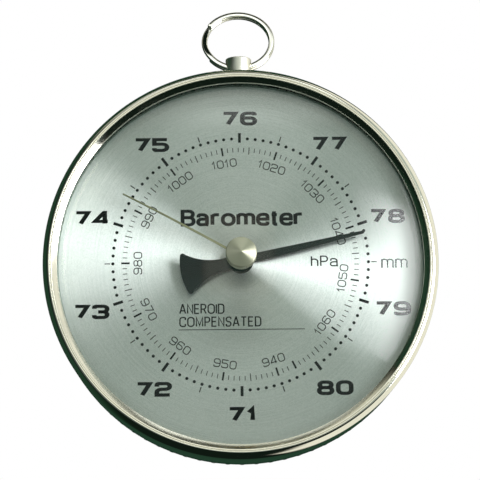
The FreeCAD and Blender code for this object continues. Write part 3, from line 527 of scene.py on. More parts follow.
def clear_crystal():
    """Thin clear crystal: see-through, with a reflection that grows toward the edge."""
    material = bpy.data.materials.new("crystal_clear")
    material.use_nodes = True
    tree = material.node_tree
    tree.nodes.clear()
    out = tree.nodes.new("ShaderNodeOutputMaterial")
    through = tree.nodes.new("ShaderNodeBsdfTransparent")
    through.inputs["Color"].default_value = (0.985, 0.995, 0.99, 1)
    gloss = tree.nodes.new("ShaderNodeBsdfGlossy")
    gloss.inputs["Color"].default_value = (1, 1, 1, 1)
    film = noise(tree, place_in_mm(tree), 0.25, 4)
    feed(tree, blend_range(tree, film, 0.35, 0.75, 0.01, 0.05), gloss.inputs["Roughness"])
    facing = tree.nodes.new("ShaderNodeLayerWeight")
    facing.inputs["Blend"].default_value = 0.5
    edge = math_node(tree, "POWER", facing.outputs["Facing"], 5.0)
    mix = tree.nodes.new("ShaderNodeMixShader")
    feed(tree, blend_range(tree, edge, 0.0, 1.0, 0.02, 0.9, smooth=False), mix.inputs[0])
    tree.links.new(through.outputs[0], mix.inputs[1])
    tree.links.new(gloss.outputs[0], mix.inputs[2])
    tree.links.new(mix.outputs[0], out.inputs["Surface"])
    return material


NICKEL = polished_nickel("nickel_case", (0.82, 0.80, 0.71), 0.09)
STUD_NICKEL = polished_nickel("stud_nickel", (0.82, 0.80, 0.71), 0.32)
RING_CHROME = polished_nickel("ring_chrome", (0.68, 0.67, 0.60), 0.07)
DIAL_SILVER = brushed_dial()
KNOB_NICKEL = turned_knob()
INK = printed_ink()
POINTER_BLACK = satin_black("pointer_black", (0.004, 0.012, 0.009), 0.5, 0.12, 0.004, 0.2)
COVER_BLACK = satin_black("cover_black", (0.014, 0.016, 0.015), 0.5, 0.35, 0.02)
RUBBER_BLACK = satin_black("rubber_black", (0.010, 0.011, 0.010), 0.7, 0.2, 0.01)
# The spacer ring's dark green-grey colour is painted shade: it stands in for the shade in the recess
# under the bezel's bevel, though it is dressed as the spacer's own metal.
SPACER_PAINTED_SHADE = polished_nickel("spacer_silver", (0.15, 0.20, 0.165), 0.25)
BRASS_PLATE = worked_metal("brass_plate", (0.72, 0.53, 0.25), 0.28)
BRASS_HAND = worked_metal("brass_hand", (0.44, 0.43, 0.26), 0.45)
SPRING_STEEL = worked_metal("spring_steel", (0.55, 0.56, 0.57), 0.22)
BLUED_STEEL = worked_metal("blued_steel", (0.10, 0.13, 0.28), 0.25, 0.6)
CAPSULE_COPPER = worked_metal("capsule_copper", (0.68, 0.40, 0.26), 0.3)
CRYSTAL_CLEAR = clear_crystal()


# ---- case, crystal and dial ----

def build_bezel():
    """The front ring with its rounded shoulder, twin-ridge lip and inner bevel."""
    lip_mid = (LIP_OUTER_R + LIP_INNER_R) / 2
    side = BEZEL_FRONT - LIP_EDGE
    wall_end = (CASE_R, DRUM_FRONT + SHOULDER_RISE)
    bulge = (CASE_R - SHOULDER_BULGE[0], DRUM_FRONT + SHOULDER_BULGE[1])
    strip_end = (LIP_OUTER_R + STRIP_WIDTH, side - STRIP_DROP)
    shoulder = arc_through(wall_end, bulge, strip_end, 12)
    lip = rounded([
        (LIP_OUTER_R, side), (LIP_OUTER_R - LIP_DRAFT, BEZEL_FRONT, 0.15),
        (lip_mid + LIP_RIDGE_HALF, BEZEL_FRONT, 0.08), (lip_mid, BEZEL_FRONT - LIP_GROOVE / 2, 0.05),
        (lip_mid - LIP_RIDGE_HALF, BEZEL_FRONT, 0.08), (LIP_INNER_R + LIP_DRAFT, BEZEL_FRONT, 0.15),
        (LIP_INNER_R, side),
    ], False)
    seam = rounded([(SPIGOT_R, DRUM_FRONT), (CASE_R, DRUM_FRONT, 0.15), wall_end], False)
    sight = rounded([
        (LIP_INNER_R, side), (SIGHT_R, BEVEL_FOOT, 0.2), (SIGHT_R, GASKET_FRONT, 0.1),
        (SEAT_R, GASKET_FRONT),
    ], False)
    profile = [(SPIGOT_R, BEZEL_REAR)] + seam[:-1] + shoulder + lip
    profile += sight[1:] + [(SEAT_R, BEZEL_REAR)]
    return lathe("bezel_ring_finish", profile, 384)


def build_drum():
    """The case wall, softened at both outer edges, with the hole for the hanger's shank."""
    ramp = DIAL_REAR - LEDGE_HEIGHT - (DRUM_INNER_R - LEDGE_R)
    profile = rounded([
        (DRUM_INNER_R, COVER_FRONT), (CASE_R, COVER_FRONT, 0.25), (CASE_R, DRUM_FRONT, 0.15),
        (DRUM_INNER_R, DRUM_FRONT), (DRUM_INNER_R, DIAL_REAR), (LEDGE_R, DIAL_REAR, 0.15),
        (LEDGE_R, DIAL_REAR - LEDGE_HEIGHT, 0.15), (DRUM_INNER_R, ramp),
    ])
    drum = lathe("case_drum_finish", profile, 384)
    bore, low, high = SHANK_R + BORE_GAP, CASE_R - 6, CASE_R + 4
    drill = lathe("drill", [(0, low), (bore, low), (bore, high), (0, high)], 64, on_stud)
    carve(drum, [drill])
    return drum


def through_hole(x, z_low, z_high, radius):
    """A round-ended cutter right through the rear cover."""
    turns = [math.pi * n / 16 for n in range(17)]
    upper = [(x + radius * math.cos(t), z_high + radius * math.sin(t)) for t in turns]
    lower = [(x - radius * math.cos(t), z_low - radius * math.sin(t)) for t in turns]
    return plate("cutter", [upper + lower], -2, COVER_WEB + 2, bevel=0)


def build_rear_cover():
    """The screwed cover: knurled edge, groove, vent slots and access hole."""
    groove_inner = COVER_GROOVE_R - COVER_GROOVE_WIDE
    spigot_front = COVER_FRONT + COVER_SPIGOT
    profile = rounded([
        (0, 0), (groove_inner, 0, 0.1), (groove_inner, COVER_GROOVE_DEEP),
        (COVER_GROOVE_R, COVER_GROOVE_DEEP), (COVER_GROOVE_R, 0, 0.1),
        (COVER_STEP_R, 0, 0.5), (CASE_R, COVER_STEP_FRONT, 0.5), (CASE_R, COVER_FRONT, 0.1),
        (SPIGOT_R, COVER_FRONT), (SPIGOT_R, spigot_front, 0.3), (COVER_POCKET_R, spigot_front),
        (COVER_POCKET_R, COVER_WEB, 0.5), (0, COVER_WEB),
    ])
    cover = lathe("rear_cover_finish", profile, COVER_TEETH * 12, teeth=COVER_TEETH, root=COVER_ROOT_R)
    cutters = [through_hole(x, VENT_LOW, VENT_HIGH, VENT_HALF_WIDTH) for x in VENT_PLACES]
    cutters.append(through_hole(ADJUSTER_X, 0, 0, ACCESS_R))
    carve(cover, cutters)
    return cover


def dome_front(radius, extra=0.0):
    """The front of the dome's inner face at a radius, or of a face further out from its centre."""
    return DOME_CENTRE + math.sqrt((DOME_INNER_R + extra) ** 2 - radius ** 2)


def build_crystal():
    """The domed crystal with its flat rim and centre hole."""
    bore = SHAFT_R + BORE_GAP
    rim_front = CRYSTAL_REAR + CRYSTAL_THICK
    outer_r = math.sqrt((DOME_INNER_R + CRYSTAL_THICK) ** 2 - (rim_front - DOME_CENTRE) ** 2)
    rings = 40
    outward = [bore + (DOME_R - bore) * n / rings for n in range(rings + 1)]
    inward = [outer_r - (outer_r - bore) * n / rings for n in range(rings + 1)]
    inner = [(r, dome_front(r)) for r in outward]
    outer = [(r, dome_front(r, CRYSTAL_THICK)) for r in inward]
    rim = rounded([(DOME_R, CRYSTAL_REAR), (CRYSTAL_R, CRYSTAL_REAR, 0.2), (CRYSTAL_R, rim_front, 0.2),
                   (outer_r, rim_front)], False)
    return lathe("crystal_finish", inner + rim[1:-1] + outer, 256)


def build_band(name, node, inner, edge):
    """A plain turned ring in a CAD node's space, softened at its edges."""
    rear, front = fronts(node)
    outer = outer_radius(node)
    return lathe(name, rounded([(inner, rear, edge), (outer, rear, edge), (outer, front, edge),
                                (inner, front, edge)]), 256)


# ---- hanger ----

def build_stud():
    """The turned stud with its shank and its flared cross hole."""
    profile = rounded([(0, STUD_END), (SHANK_R, STUD_END, 0.3), (SHANK_R, STUD_FOOT),
                       (STUD_R, STUD_FOOT, 0.15), (STUD_R, STUD_TOP, 0.35), (0, STUD_TOP)])
    stud = lathe("hanger_stud_finish", profile, 128, on_stud)
    reach = STUD_R + 0.4
    mouth = RING_HOLE_R + RING_MID_R - math.sqrt(RING_MID_R ** 2 - reach ** 2)
    side = arc_through((mouth, -reach), (RING_HOLE_R, 0), (mouth, reach), 24)

    def on_hole(r, h, angle):
        return h, -STUD_FRONT + r * math.sin(angle), RING_HOLE_Z + r * math.cos(angle)

    carve(stud, [lathe("drill", [(0, -reach)] + side + [(0, reach)], 64, on_hole)])
    return stud


def ring_wire_centre(turn_angle):
    """Where the wire's centre is off the ring's plane after turning that far from its start."""
    lap = 360 - RING_CROSSING
    if turn_angle <= lap:
        return -RING_THICK / 2
    if turn_angle >= 360:
        return RING_THICK / 2
    t = (turn_angle - lap) / RING_CROSSING
    return RING_THICK * (t * t * (3 - 2 * t) - 0.5)


def build_split_ring():
    """One flat wire wound twice round, stepping from the front lap to the rear one."""
    half_wide, half_thick = RING_WIDE / 2, RING_THICK / 2
    corner = 0.45
    section = rounded([(-half_wide, -half_thick, corner), (half_wide, -half_thick, corner),
                       (half_wide, half_thick, corner), (-half_wide, half_thick, corner)], steps=6)
    lean = Matrix.Rotation(math.radians(-RING_LEAN), 3, "X")
    start = RING_END_ANGLE + RING_CROSSING / 2
    total = 720 - RING_CROSSING
    steps = 340
    mesh = bmesh.new()
    rings = []
    for n in range(steps + 1):
        turned = total * n / steps
        edge = 1 - 0.12 * (n in (0, steps))
        ring = []
        for wide, thick in section:
            x, z = polar(RING_MID_R + wide * edge, start + turned)
            y = ring_wire_centre(turned) + thick * edge
            point = lean @ Vector((x, y, z + RING_MID_R))
            ring.append(mesh.verts.new(point + Vector((0, -STUD_FRONT, RING_HOLE_Z))))
        rings.append(ring)
    for here, there in zip(rings, rings[1:]):
        for k in range(len(section)):
            mesh.faces.new((here[k - 1], here[k], there[k], there[k - 1]))
    mesh.faces.new(rings[0])
    mesh.faces.new(rings[-1])
    return finish_mesh("split_ring_finish", mesh)


# ---- hands and knob ----

def needle_side(half_base, half_tip, length, radius):
    """Where a needle's straight side leaves its hub circle."""
    slope = (half_tip - half_base) / (length - half_tip)
    along = radius
    for _ in range(8):
        along = math.sqrt(radius ** 2 - (half_base + slope * along) ** 2)
    return half_base + slope * along, along


def build_pointer():
    """The black pointer: needle, hub and fan tail, with softened edges."""
    half_tip, length, hub = 0.5, 41.9, 4.2
    side = needle_side(1.62, half_tip, length, hub)
    waist, corner, shoulder, tail_r = (2.15, 6.6), (6.3, 17.4), (6.3, 19.1), 20.1
    neck = (2.13, math.sqrt(hub ** 2 - 2.13 ** 2))
    tip = [(half_tip * math.cos(t), length - half_tip + half_tip * math.sin(t))
           for t in [math.pi * n / 8 for n in range(9)]]
    left_hub = arc_through((-side[0], side[1]), (-hub, 0), (-neck[0], -neck[1]), 16)
    left_tail = arc_through((-waist[0], -waist[1]), (-3.75, -13.2), (-corner[0], -corner[1]), 14)
    left_round = arc_through((-corner[0], -corner[1]), (-6.85, -18.4), (-shoulder[0], -shoulder[1]), 6)
    end = arc_through((-shoulder[0], -shoulder[1]), (0, -tail_r), (shoulder[0], -shoulder[1]), 16)
    left = left_hub + left_tail + left_round[1:]
    right = [(-x, z) for x, z in reversed(left)]
    loop = tip + left + end[1:-1] + right
    return plate("pointer_finish", [loop, circle(1.2, 32, True)], POINTER_REAR, POINTER_FRONT,
                 POINTER_REST, bevel=0.1)


def build_set_hand():
    """The thin brass hand, bowed to follow the inside of the dome."""
    half_base, half_tip, length, eye = 0.43, 0.25, 44.7, 2.3
    side = needle_side(half_base, half_tip, length, eye)
    cuts = 40
    right = []
    for n in range(cuts + 1):
        along = side[1] + (length - half_tip - side[1]) * n / cuts
        right.append((half_base + (half_tip - half_base) * along / (length - half_tip), along))
    tip = [(half_tip * math.cos(t), length - half_tip + half_tip * math.sin(t))
           for t in [math.pi * n / 8 for n in range(9)]]
    left = [(-x, z) for x, z in reversed(right)]
    hub = arc_through((-side[0], side[1]), (0, -eye), side, 40)
    loop = right + tip[1:-1] + left + hub[1:-1]
    top = DOME_INNER_R - HAND_GAP

    def follow_dome(radius):
        return DOME_CENTRE + math.sqrt(top ** 2 - radius ** 2)

    return plate("set_hand_finish", [loop, circle(SHAFT_R, 32, True)], -HAND_THICK, 0,
                 SET_HAND_REST, 0.06, follow_dome)


def build_knob():
    """The turned knob: coned face, fine knurl, narrower back and a blind bore."""
    bore_end = KNOB_SKIRT + KNOB_BORE
    profile = rounded([
        (SHAFT_R, KNOB_BACK), (KNOB_NECK_R, KNOB_BACK), (KNOB_NECK_R, KNOB_SKIRT),
        (KNOB_ROOT_R, KNOB_SKIRT), (KNOB_R, KNOB_SKIRT + 0.25, 0.1), (KNOB_R, KNOB_RIM - 0.28, 0.1),
        (KNOB_ROOT_R, KNOB_RIM - 0.08, 0.05), (KNOB_ROOT_R - 0.12, KNOB_RIM, 0.05),
        (0.25, KNOB_APEX - 0.05, 0.2), (0, KNOB_APEX), (0, bore_end), (SHAFT_R, bore_end),
    ])
    return lathe("knob_finish", profile, KNOB_TEETH * 8, teeth=KNOB_TEETH, root=KNOB_ROOT_R)


# ---- printing on the dial ----

INK_THICK = 0.03

# Strokes of each figure in a unit box: (x, y) or (x, y, corner). A first item "loop" closes a stroke.
ROUND = 0.3
FIGURES = {
    "0": [["loop", (0, 0, 1), (1, 0, 1), (1, 1, 1), (0, 1, 1)]],
    "1": [[(0.0, 0.66), (0.62, 1.0), (0.62, 0)]],
    "2": [[(0, 0.74), (0, 1, 1), (1, 1, 1), (1, 0.52, 1), (0, 0.48, 1), (0, 0), (1, 0)]],
    "3": [[(0, 0.78), (0, 1, 1), (1, 1, 1), (1, 0.5, 1), (0.3, 0.5)],
          [(0.3, 0.5), (1, 0.5, 1), (1, 0, 1), (0, 0, 1), (0, 0.22)]],
    "4": [[(1, 0.2), (0, 0.2), (0.7, 1), (0.76, 1), (0.76, 0)]],
    "5": [[(1, 1), (0, 1), (0, 0.58), (1, 0.58, 1), (1, 0, 1), (0, 0, 1), (0, 0.22)]],
    "6": [[(0.97, 0.8), (0.97, 1, 1), (0, 1, 1), (0, 0, 1), (1, 0, 1), (1, 0.56, 1), (0, 0.56)]],
    "7": [[(0, 1), (0.93, 1), (0.35, 0)]],
    "8": [["loop", (0, 0, 1), (1, 0, 1), (1, 0.52, 1), (0, 0.52, 1)],
          ["loop", (0.05, 0.52, 1), (0.95, 0.52, 1), (0.95, 1, 1), (0.05, 1, 1)]],
    "9": [[(0.03, 0.2), (0.03, 0, 1), (1, 0, 1), (1, 1, 1), (0, 1, 1), (0, 0.44, 1), (1, 0.44)]],
}
FIGURE_WIDTHS = {"1": 0.6}

# Letters: width in cap heights, then strokes with corner radii in cap heights.
LETTERS = {
    "B": (0.6, [["loop", (0, 0), (0.6, 0, 0.24), (0.6, 0.53, 0.24), (0, 0.53)],
                ["loop", (0, 0.53), (0.56, 0.53, 0.22), (0.56, 1, 0.22), (0, 1)]]),
    "a": (0.53, [[(0.02, 0.53), (0.03, 0.73, 0.18), (0.48, 0.73, 0.18), (0.48, 0, 0.06), (0.55, 0)],
                 [(0.48, 0.42), (0, 0.4, 0.18), (0, 0, 0.2), (0.48, 0.02, 0.2), (0.48, 0.2)]]),
    "r": (0.32, [[(0, 0), (0, 0.73)], [(0, 0.4), (0.02, 0.72, 0.24), (0.36, 0.73)]]),
    "o": (0.6, [["loop", (0, 0, 0.31), (0.6, 0, 0.31), (0.6, 0.73, 0.31), (0, 0.73, 0.31)]]),
    "m": (0.82, [[(0, 0), (0, 0.75)], [(0, 0.45), (0.02, 0.73, 0.2), (0.41, 0.73, 0.18), (0.41, 0)],
                 [(0.41, 0.45), (0.43, 0.73, 0.2), (0.82, 0.73, 0.18), (0.82, 0)]]),
    "e": (0.52, [[(0, 0.38), (0.52, 0.38), (0.52, 0.73, 0.27), (0, 0.73, 0.28), (0, 0, 0.28),
                  (0.52, 0, 0.24), (0.52, 0.2)]]),
    "t": (0.26, [[(0.11, 0.94), (0.11, 0, 0.12), (0.28, 0)], [(-0.02, 0.7), (0.27, 0.7)]]),
    "h": (0.46, [[(0, 0), (0, 1)], [(0, 0.45), (0.02, 0.7, 0.2), (0.46, 0.7, 0.2), (0.46, 0)]]),
    "P": (0.5, [[(0, 0), (0, 0.46)], ["loop", (0, 0.46), (0.5, 0.46, 0.24), (0.5, 1, 0.24), (0, 1)]]),
    "A": (0.62, [[(0, 0), (0.29, 1), (0.33, 1), (0.62, 0)], [(0.1, 0.3), (0.52, 0.3)]]),
    "N": (0.55, [[(0, 0), (0, 1), (0.55, 0), (0.55, 1)]]),
    "E": (0.48, [[(0.48, 1), (0, 1), (0, 0), (0.48, 0)], [(0, 0.52), (0.43, 0.52)]]),
    "R": (0.54, [["loop", (0, 0.47), (0.5, 0.47, 0.24), (0.5, 1, 0.24), (0, 1)], [(0, 0.47), (0, 0)],
                 [(0.28, 0.47), (0.54, 0)]]),
    "O": (0.68, [["loop", (0, 0, 0.33), (0.68, 0, 0.33), (0.68, 1, 0.33), (0, 1, 0.33)]]),
    "I": (0.0, [[(0, 0), (0, 1)]]),
    "D": (0.58, [["loop", (0, 0), (0.58, 0, 0.3), (0.58, 1, 0.3), (0, 1)]]),
    "C": (0.6, [[(0.6, 0.72), (0.6, 1, 0.28), (0, 1, 0.32), (0, 0, 0.32), (0.6, 0, 0.28), (0.6, 0.28)]]),
    "M": (0.68, [[(0, 0), (0, 1), (0.34, 0.1), (0.68, 1), (0.68, 0)]]),
    "S": (0.5, [[(0.5, 0.76), (0.5, 1, 0.22), (0, 1, 0.22), (0, 0.52, 0.22), (0.5, 0.48, 0.22),
                 (0.5, 0, 0.22), (0, 0, 0.22), (0, 0.24)]]),
    "T": (0.54, [[(0, 1), (0.54, 1)], [(0.27, 1), (0.27, 0)]]),
}


def on_dial(centre, turn):
    """How a mark drawn about the origin is placed: turned clockwise, then moved to its centre."""
    a = math.radians(turn)

    def place(x, y, level):
        return (centre[0] + x * math.cos(a) + y * math.sin(a), -level,
                centre[1] + y * math.cos(a) - x * math.sin(a))

    return place


class Print:
    """Gathers printed marks as thin solids on the dial's face."""

    def __init__(self):
        self.mesh = bmesh.new()

    def add(self, loops, centre=(0.0, 0.0), turn=0.0):
        """Adds one mark whose outline is about the origin, moved and turned clockwise."""
        add_prism(self.mesh, loops, DIAL_FRONT, DIAL_FRONT + INK_THICK, on_dial(centre, turn))

    def strip(self, left, right, closed, centre, turn):
        """Adds one pen stroke from its left and right edges."""
        place = on_dial(centre, turn)
        rows = []
        for side in (left, right):
            for level in (DIAL_FRONT, DIAL_FRONT + INK_THICK):
                rows.append([self.mesh.verts.new(place(x, y, level)) for x, y in side])
        left_low, left_high, right_low, right_high = rows
        around = [left_low, left_high, right_high, right_low]
        count = len(left)
        for n in range(count if closed else count - 1):
            m = (n + 1) % count
            for here, there in zip(around, around[1:] + around[:1]):
                self.mesh.faces.new((here[n], there[n], there[m], here[m]))
        if not closed:
            for n in (0, -1):
                self.mesh.faces.new([row[n] for row in around])

    def bar(self, width, low, high, angle):
        """A radial tick."""
        half = width / 2
        self.add([[(-half, low), (half, low), (half, high), (-half, high)]], turn=angle)

    def piece(self, name):
        """The finished piece, dressed in ink."""
        made = finish_mesh(name, self.mesh)
        dress(made, "case", "dial_silver", INK)
        return made


def stroke_sides(points, closed, thick):
    """The left and right edges of a stroke of even thickness along a line of points."""
    left, right = [], []
    last = len(points) - 1
    for n, point in enumerate(points):
        here = Vector(point)
        before = here - Vector(points[n - 1]) if closed or n > 0 else None
        after = Vector(points[(n + 1) % len(points)]) - here if closed or n < last else None
        before = (before if before is not None else after).normalized()
        after = (after if after is not None else before).normalized()
        normal = Vector((-before.y - after.y, before.x + after.x)).normalized()
        spread = max(0.45, normal.dot(Vector((-before.y, before.x))))
        shift = normal * (thick / 2 / spread)
        left.append(here + shift)
        right.append(here - shift)
    return left, right


def draw_strokes(print_, strokes, size, corner, pen, origin, centre=(0.0, 0.0), turn=0.0):
    """Adds one glyph. A pen is its thickness and how much thicker its upright strokes are."""
    thick, stretch = pen
    for stroke in strokes:
        closed = stroke[0] == "loop"
        points = []
        for point in stroke[1:] if closed else stroke:
            radius = point[2] * corner if len(point) > 2 else 0.0
            points.append((point[0] * size[0] / stretch, point[1] * size[1], radius))
        sides = stroke_sides(rounded(points, closed, 6), closed, thick)
        left, right = [[(p.x * stretch + origin[0], p.y + origin[1]) for p in side] for side in sides]
        print_.strip(left, right, closed, centre, turn)


def figures(print_, text, centre, height, width, pen, gap, turn=0.0):
    """A number, centred on a point and turned clockwise."""
    thick, upright = pen[0], pen[0] * pen[1]
    widths = [width * FIGURE_WIDTHS.get(c, 1.0) for c in text]
    x = -(sum(widths) + gap * (len(text) - 1)) / 2
    for c, wide in zip(text, widths):
        size = (wide - upright, height - thick)
        origin = (x + upright / 2, -size[1] / 2)
        draw_strokes(print_, FIGURES[c], size, ROUND * size[1], pen, origin, centre, turn)
        x += wide + gap


def words(print_, text, left, right, baseline, cap, pen, wide=1.0):
    """A line of lettering spread between two x positions; wide stretches each letter sideways."""
    thick, upright = pen[0], pen[0] * pen[1]
    body = cap - thick
    glyph_total = sum(LETTERS[c][0] * body * wide + upright for c in text)
    gap = (right - left - glyph_total) / max(1, len(text) - 1)
    x = left
    for c in text:
        width, strokes = LETTERS[c]
        origin = (x + upright / 2, baseline + thick / 2)
        draw_strokes(print_, strokes, (body * wide, body), body * wide, pen, origin)
        x += width * body * wide + upright + gap


# Each tick is its width, its inner radius and its outer radius.
DEGREES_PER_CM = 36.0
CM_TICK = (0.95, 40.9, 44.2)
HALF_CM_TICK = (0.35, 43.2, 45.0)
MM_DOT_R = 0.525
MM_DOT_PLACE = 42.25
DEGREES_PER_HPA = 2.7
STANDARD_HPA = 1013.25
TEN_HPA_TICK = (0.6, 36.7, 39.5)
FIVE_HPA_TICK = (0.3, 36.9, 39.3)
HPA_TICK = (0.25, 37.6, 39.1)
HPA_NUMBER_PLACE = 34.0


def print_centimetre_scale():
    """Bold numerals 71 to 80, heavy ticks at them, thin half ticks, and a dot each millimetre."""
    print_ = Print()
    for step in range(100):
        angle = step * DEGREES_PER_CM / 10
        if step % 10 == 0:
            print_.bar(*CM_TICK, angle)
        else:
            print_.add([circle(MM_DOT_R, 24)], polar(MM_DOT_PLACE, angle))
        if step % 10 == 5:
            print_.bar(*HALF_CM_TICK, angle)
    # The numerals stay upright, so each sits where its own width clears the dots.
    centres = {76: (0, 49.2), 77: (30, 40.3), 78: (48.8, 15.4), 79: (49.9, -15.7), 80: (30.4, -41.7),
               71: (0, -50.1), 72: (-28.8, -41.7), 73: (-49.3, -16), 74: (-49.2, 15.5), 75: (-29.5, 40.3)}
    for number, centre in centres.items():
        figures(print_, str(number), centre, 4.8, 5.75, (1.08, 1.42), 0.5)
    return print_.piece("dial_print_centimetres")


def print_hectopascal_scale():
    """The inner scale with thin tangential numbers."""
    print_ = Print()
    for value in range(938, 1071):
        angle = (value - STANDARD_HPA) * DEGREES_PER_HPA
        if value % 10 == 0:
            print_.bar(*TEN_HPA_TICK, angle)
        elif value % 5 == 0:
            print_.bar(*FIVE_HPA_TICK, angle)
        else:
            print_.bar(*HPA_TICK, angle)
    for value in range(940, 1070, 10):
        angle = (value - STANDARD_HPA) * DEGREES_PER_HPA
        turn = angle if 975 < value < 1045 else angle + 180
        figures(print_, str(value), polar(HPA_NUMBER_PLACE, angle), 2.85, 2.3, (0.32, 1.0), 0.35, turn)
    return print_.piece("dial_print_hectopascals")


def print_lettering():
    """The dial's plain words, its units and the rule under the lower words."""
    print_ = Print()
    words(print_, "Barometer", -19.8, 20.9, 12.4, 5.7, (1.05, 1.22), 1.32)
    words(print_, "hPa", 23.2, 32.3, -1.5, 3.7, (0.42, 1.1), 1.35)
    words(print_, "mm", 46.5, 55.2, -2.3, 4.3, (0.42, 1.1), 1.15)
    words(print_, "ANEROID", -20.4, -5.5, -17.0, 3.4, (0.42, 1.1))
    words(print_, "COMPENSATED", -20.4, 6.6, -21.3, 3.4, (0.42, 1.1))
    print_.add([[(-20.6, -22.35), (20.8, -22.35), (20.8, -22.1), (-20.6, -22.1)]])
    return print_.piece("dial_print_lettering")


# ---- building and dressing the pieces ----

def build_pieces():
    """Every piece made here, on its body and with its finish."""
    dress(build_bezel(), "case", "nickel_case", NICKEL, "bezel_ring")
    dress(build_drum(), "case", "nickel_case", NICKEL, "case_drum")
    dress(build_rear_cover(), "case", "cover_black", COVER_BLACK, "rear_cover")
    dress(build_crystal(), "case", "crystal_clear", CRYSTAL_CLEAR, "crystal")
    dress(build_band("crystal_gasket_finish", "crystal_gasket", SIGHT_R + 0.3, 0.1),
          "case", "rubber_black", RUBBER_BLACK, "crystal_gasket")
    dress(build_band("spacer_ring_finish", "spacer_ring", SIGHT_R, 0.15),
          "case", "spacer_silver", SPACER_PAINTED_SHADE, "spacer_ring")
    dress(build_band("dial_plate_finish", "dial_plate", DIAL_HOLE_R, 0.1),
          "case", "dial_silver", DIAL_SILVER, "dial_plate")
    dress(build_stud(), "case", "nickel_case", STUD_NICKEL, "hanger_stud")
    dress(build_split_ring(), "hanging_ring", "ring_chrome", RING_CHROME, "split_ring")
    dress(build_pointer(), "pointer_group", "pointer_black", POINTER_BLACK, "pointer")
    dress(build_set_hand(), "set_hand_group", "brass_hand", BRASS_HAND, "set_hand")
    dress(build_knob(), "set_hand_group", "knob_nickel", KNOB_NICKEL, "knob")
    dress(build_band("knob_washer_finish", "knob_washer", SHAFT_R, 0.12),
          "set_hand_group", "knob_nickel", NICKEL, "knob_washer")
    print_centimetre_scale()
    print_hectopascal_scale()
    print_lettering()


def dress_cad_nodes():
    """Better materials for the CAD nodes that stay, by the slot that each one has in the record."""
    by_slot = {
        "nickel_case": NICKEL, "cover_black": COVER_BLACK, "rubber_black": RUBBER_BLACK,
        "spacer_silver": SPACER_PAINTED_SHADE, "knob_nickel": KNOB_NICKEL, "ring_chrome": RING_CHROME,
        "brass_plate": BRASS_PLATE, "brass_hand": BRASS_HAND, "pointer_black": POINTER_BLACK,
        "blued_steel": BLUED_STEEL, "spring_steel": SPRING_STEEL, "capsule_copper": CAPSULE_COPPER,
        "dial_silver": DIAL_SILVER, "crystal_clear": CRYSTAL_CLEAR,
    }
    for node in NODES.values():
        for index, old in enumerate(node.data.materials):
            name = old.name.split(".")[0]
            if name in by_slot:
                node.data.materials[index] = by_slot[name]
            else:
                print("no finish for", node.name, name)


# ---- camera, floor and light ----

CAMERA_DISTANCE = 0.60
CAMERA_SIDE = -0.62
CAMERA_RISE = -10.35
CAMERA_LENS = 136.1
AIM_SIDE = 0.015
AIM_RISE = 0.72
CAMERA_ROLL = -0.6
FLOOR_Z = -220.0
FLOOR_R = 3000.0


def build_camera():
    """The camera, a little below the dial's level and looking up at it."""
    dial = Vector((0, -DIAL_FRONT * MM, 0))
    side, rise = math.radians(CAMERA_SIDE), math.radians(CAMERA_RISE)
    back = Vector((math.sin(side) * math.cos(rise), -math.cos(side) * math.cos(rise), math.sin(rise)))
    data = bpy.data.cameras.new("camera")
    data.lens = CAMERA_LENS
    data.sensor_width = 36
    data.dof.use_dof = False
    data.clip_start, data.clip_end = 0.01, 20
    camera = bpy.data.objects.new("camera", data)
    bpy.context.scene.collection.objects.link(camera)
    aim = (-back).to_track_quat("-Z", "Y").to_matrix()
    for angle, axis in ((AIM_RISE, "X"), (AIM_SIDE, "Y"), (CAMERA_ROLL, "Z")):
        aim = aim @ Matrix.Rotation(math.radians(angle), 3, axis)
    camera.matrix_world = Matrix.Translation(dial + back * CAMERA_DISTANCE) @ aim.to_4x4()
    bpy.context.scene.camera = camera


def build_floor():
    """A plain pale floor below the hanging barometer."""
    mesh = bmesh.new()
    mesh.faces.new([mesh.verts.new((x, y, FLOOR_Z)) for x, y in circle(FLOOR_R, 96)])
    floor = finish_mesh("floor", mesh)
    material, tree, shader = start_material("floor_pale", (0.86, 0.86, 0.85), 0.0, 0.8)
    tint(tree, shader, noise(tree, place_in_mm(tree), 0.004, 2), (0.87, 0.87, 0.86), (0.84, 0.84, 0.83))
    shader.inputs["Emission Color"].default_value = (0.86, 0.86, 0.85, 1)
    shader.inputs["Emission Strength"].default_value = 0.42
    floor.data.materials.append(material)
    floor.visible_glossy = False
    floor.visible_diffuse = False


def window(tree, value, low, low_soft, high, high_soft):
    """1 between two values and 0 outside, with its own softness at each edge."""
    rise = blend_range(tree, value, low - low_soft, low + low_soft)
    fall = blend_range(tree, value, high - high_soft, high + high_soft, 1.0, 0.0)
    return math_node(tree, "MULTIPLY", rise, fall)


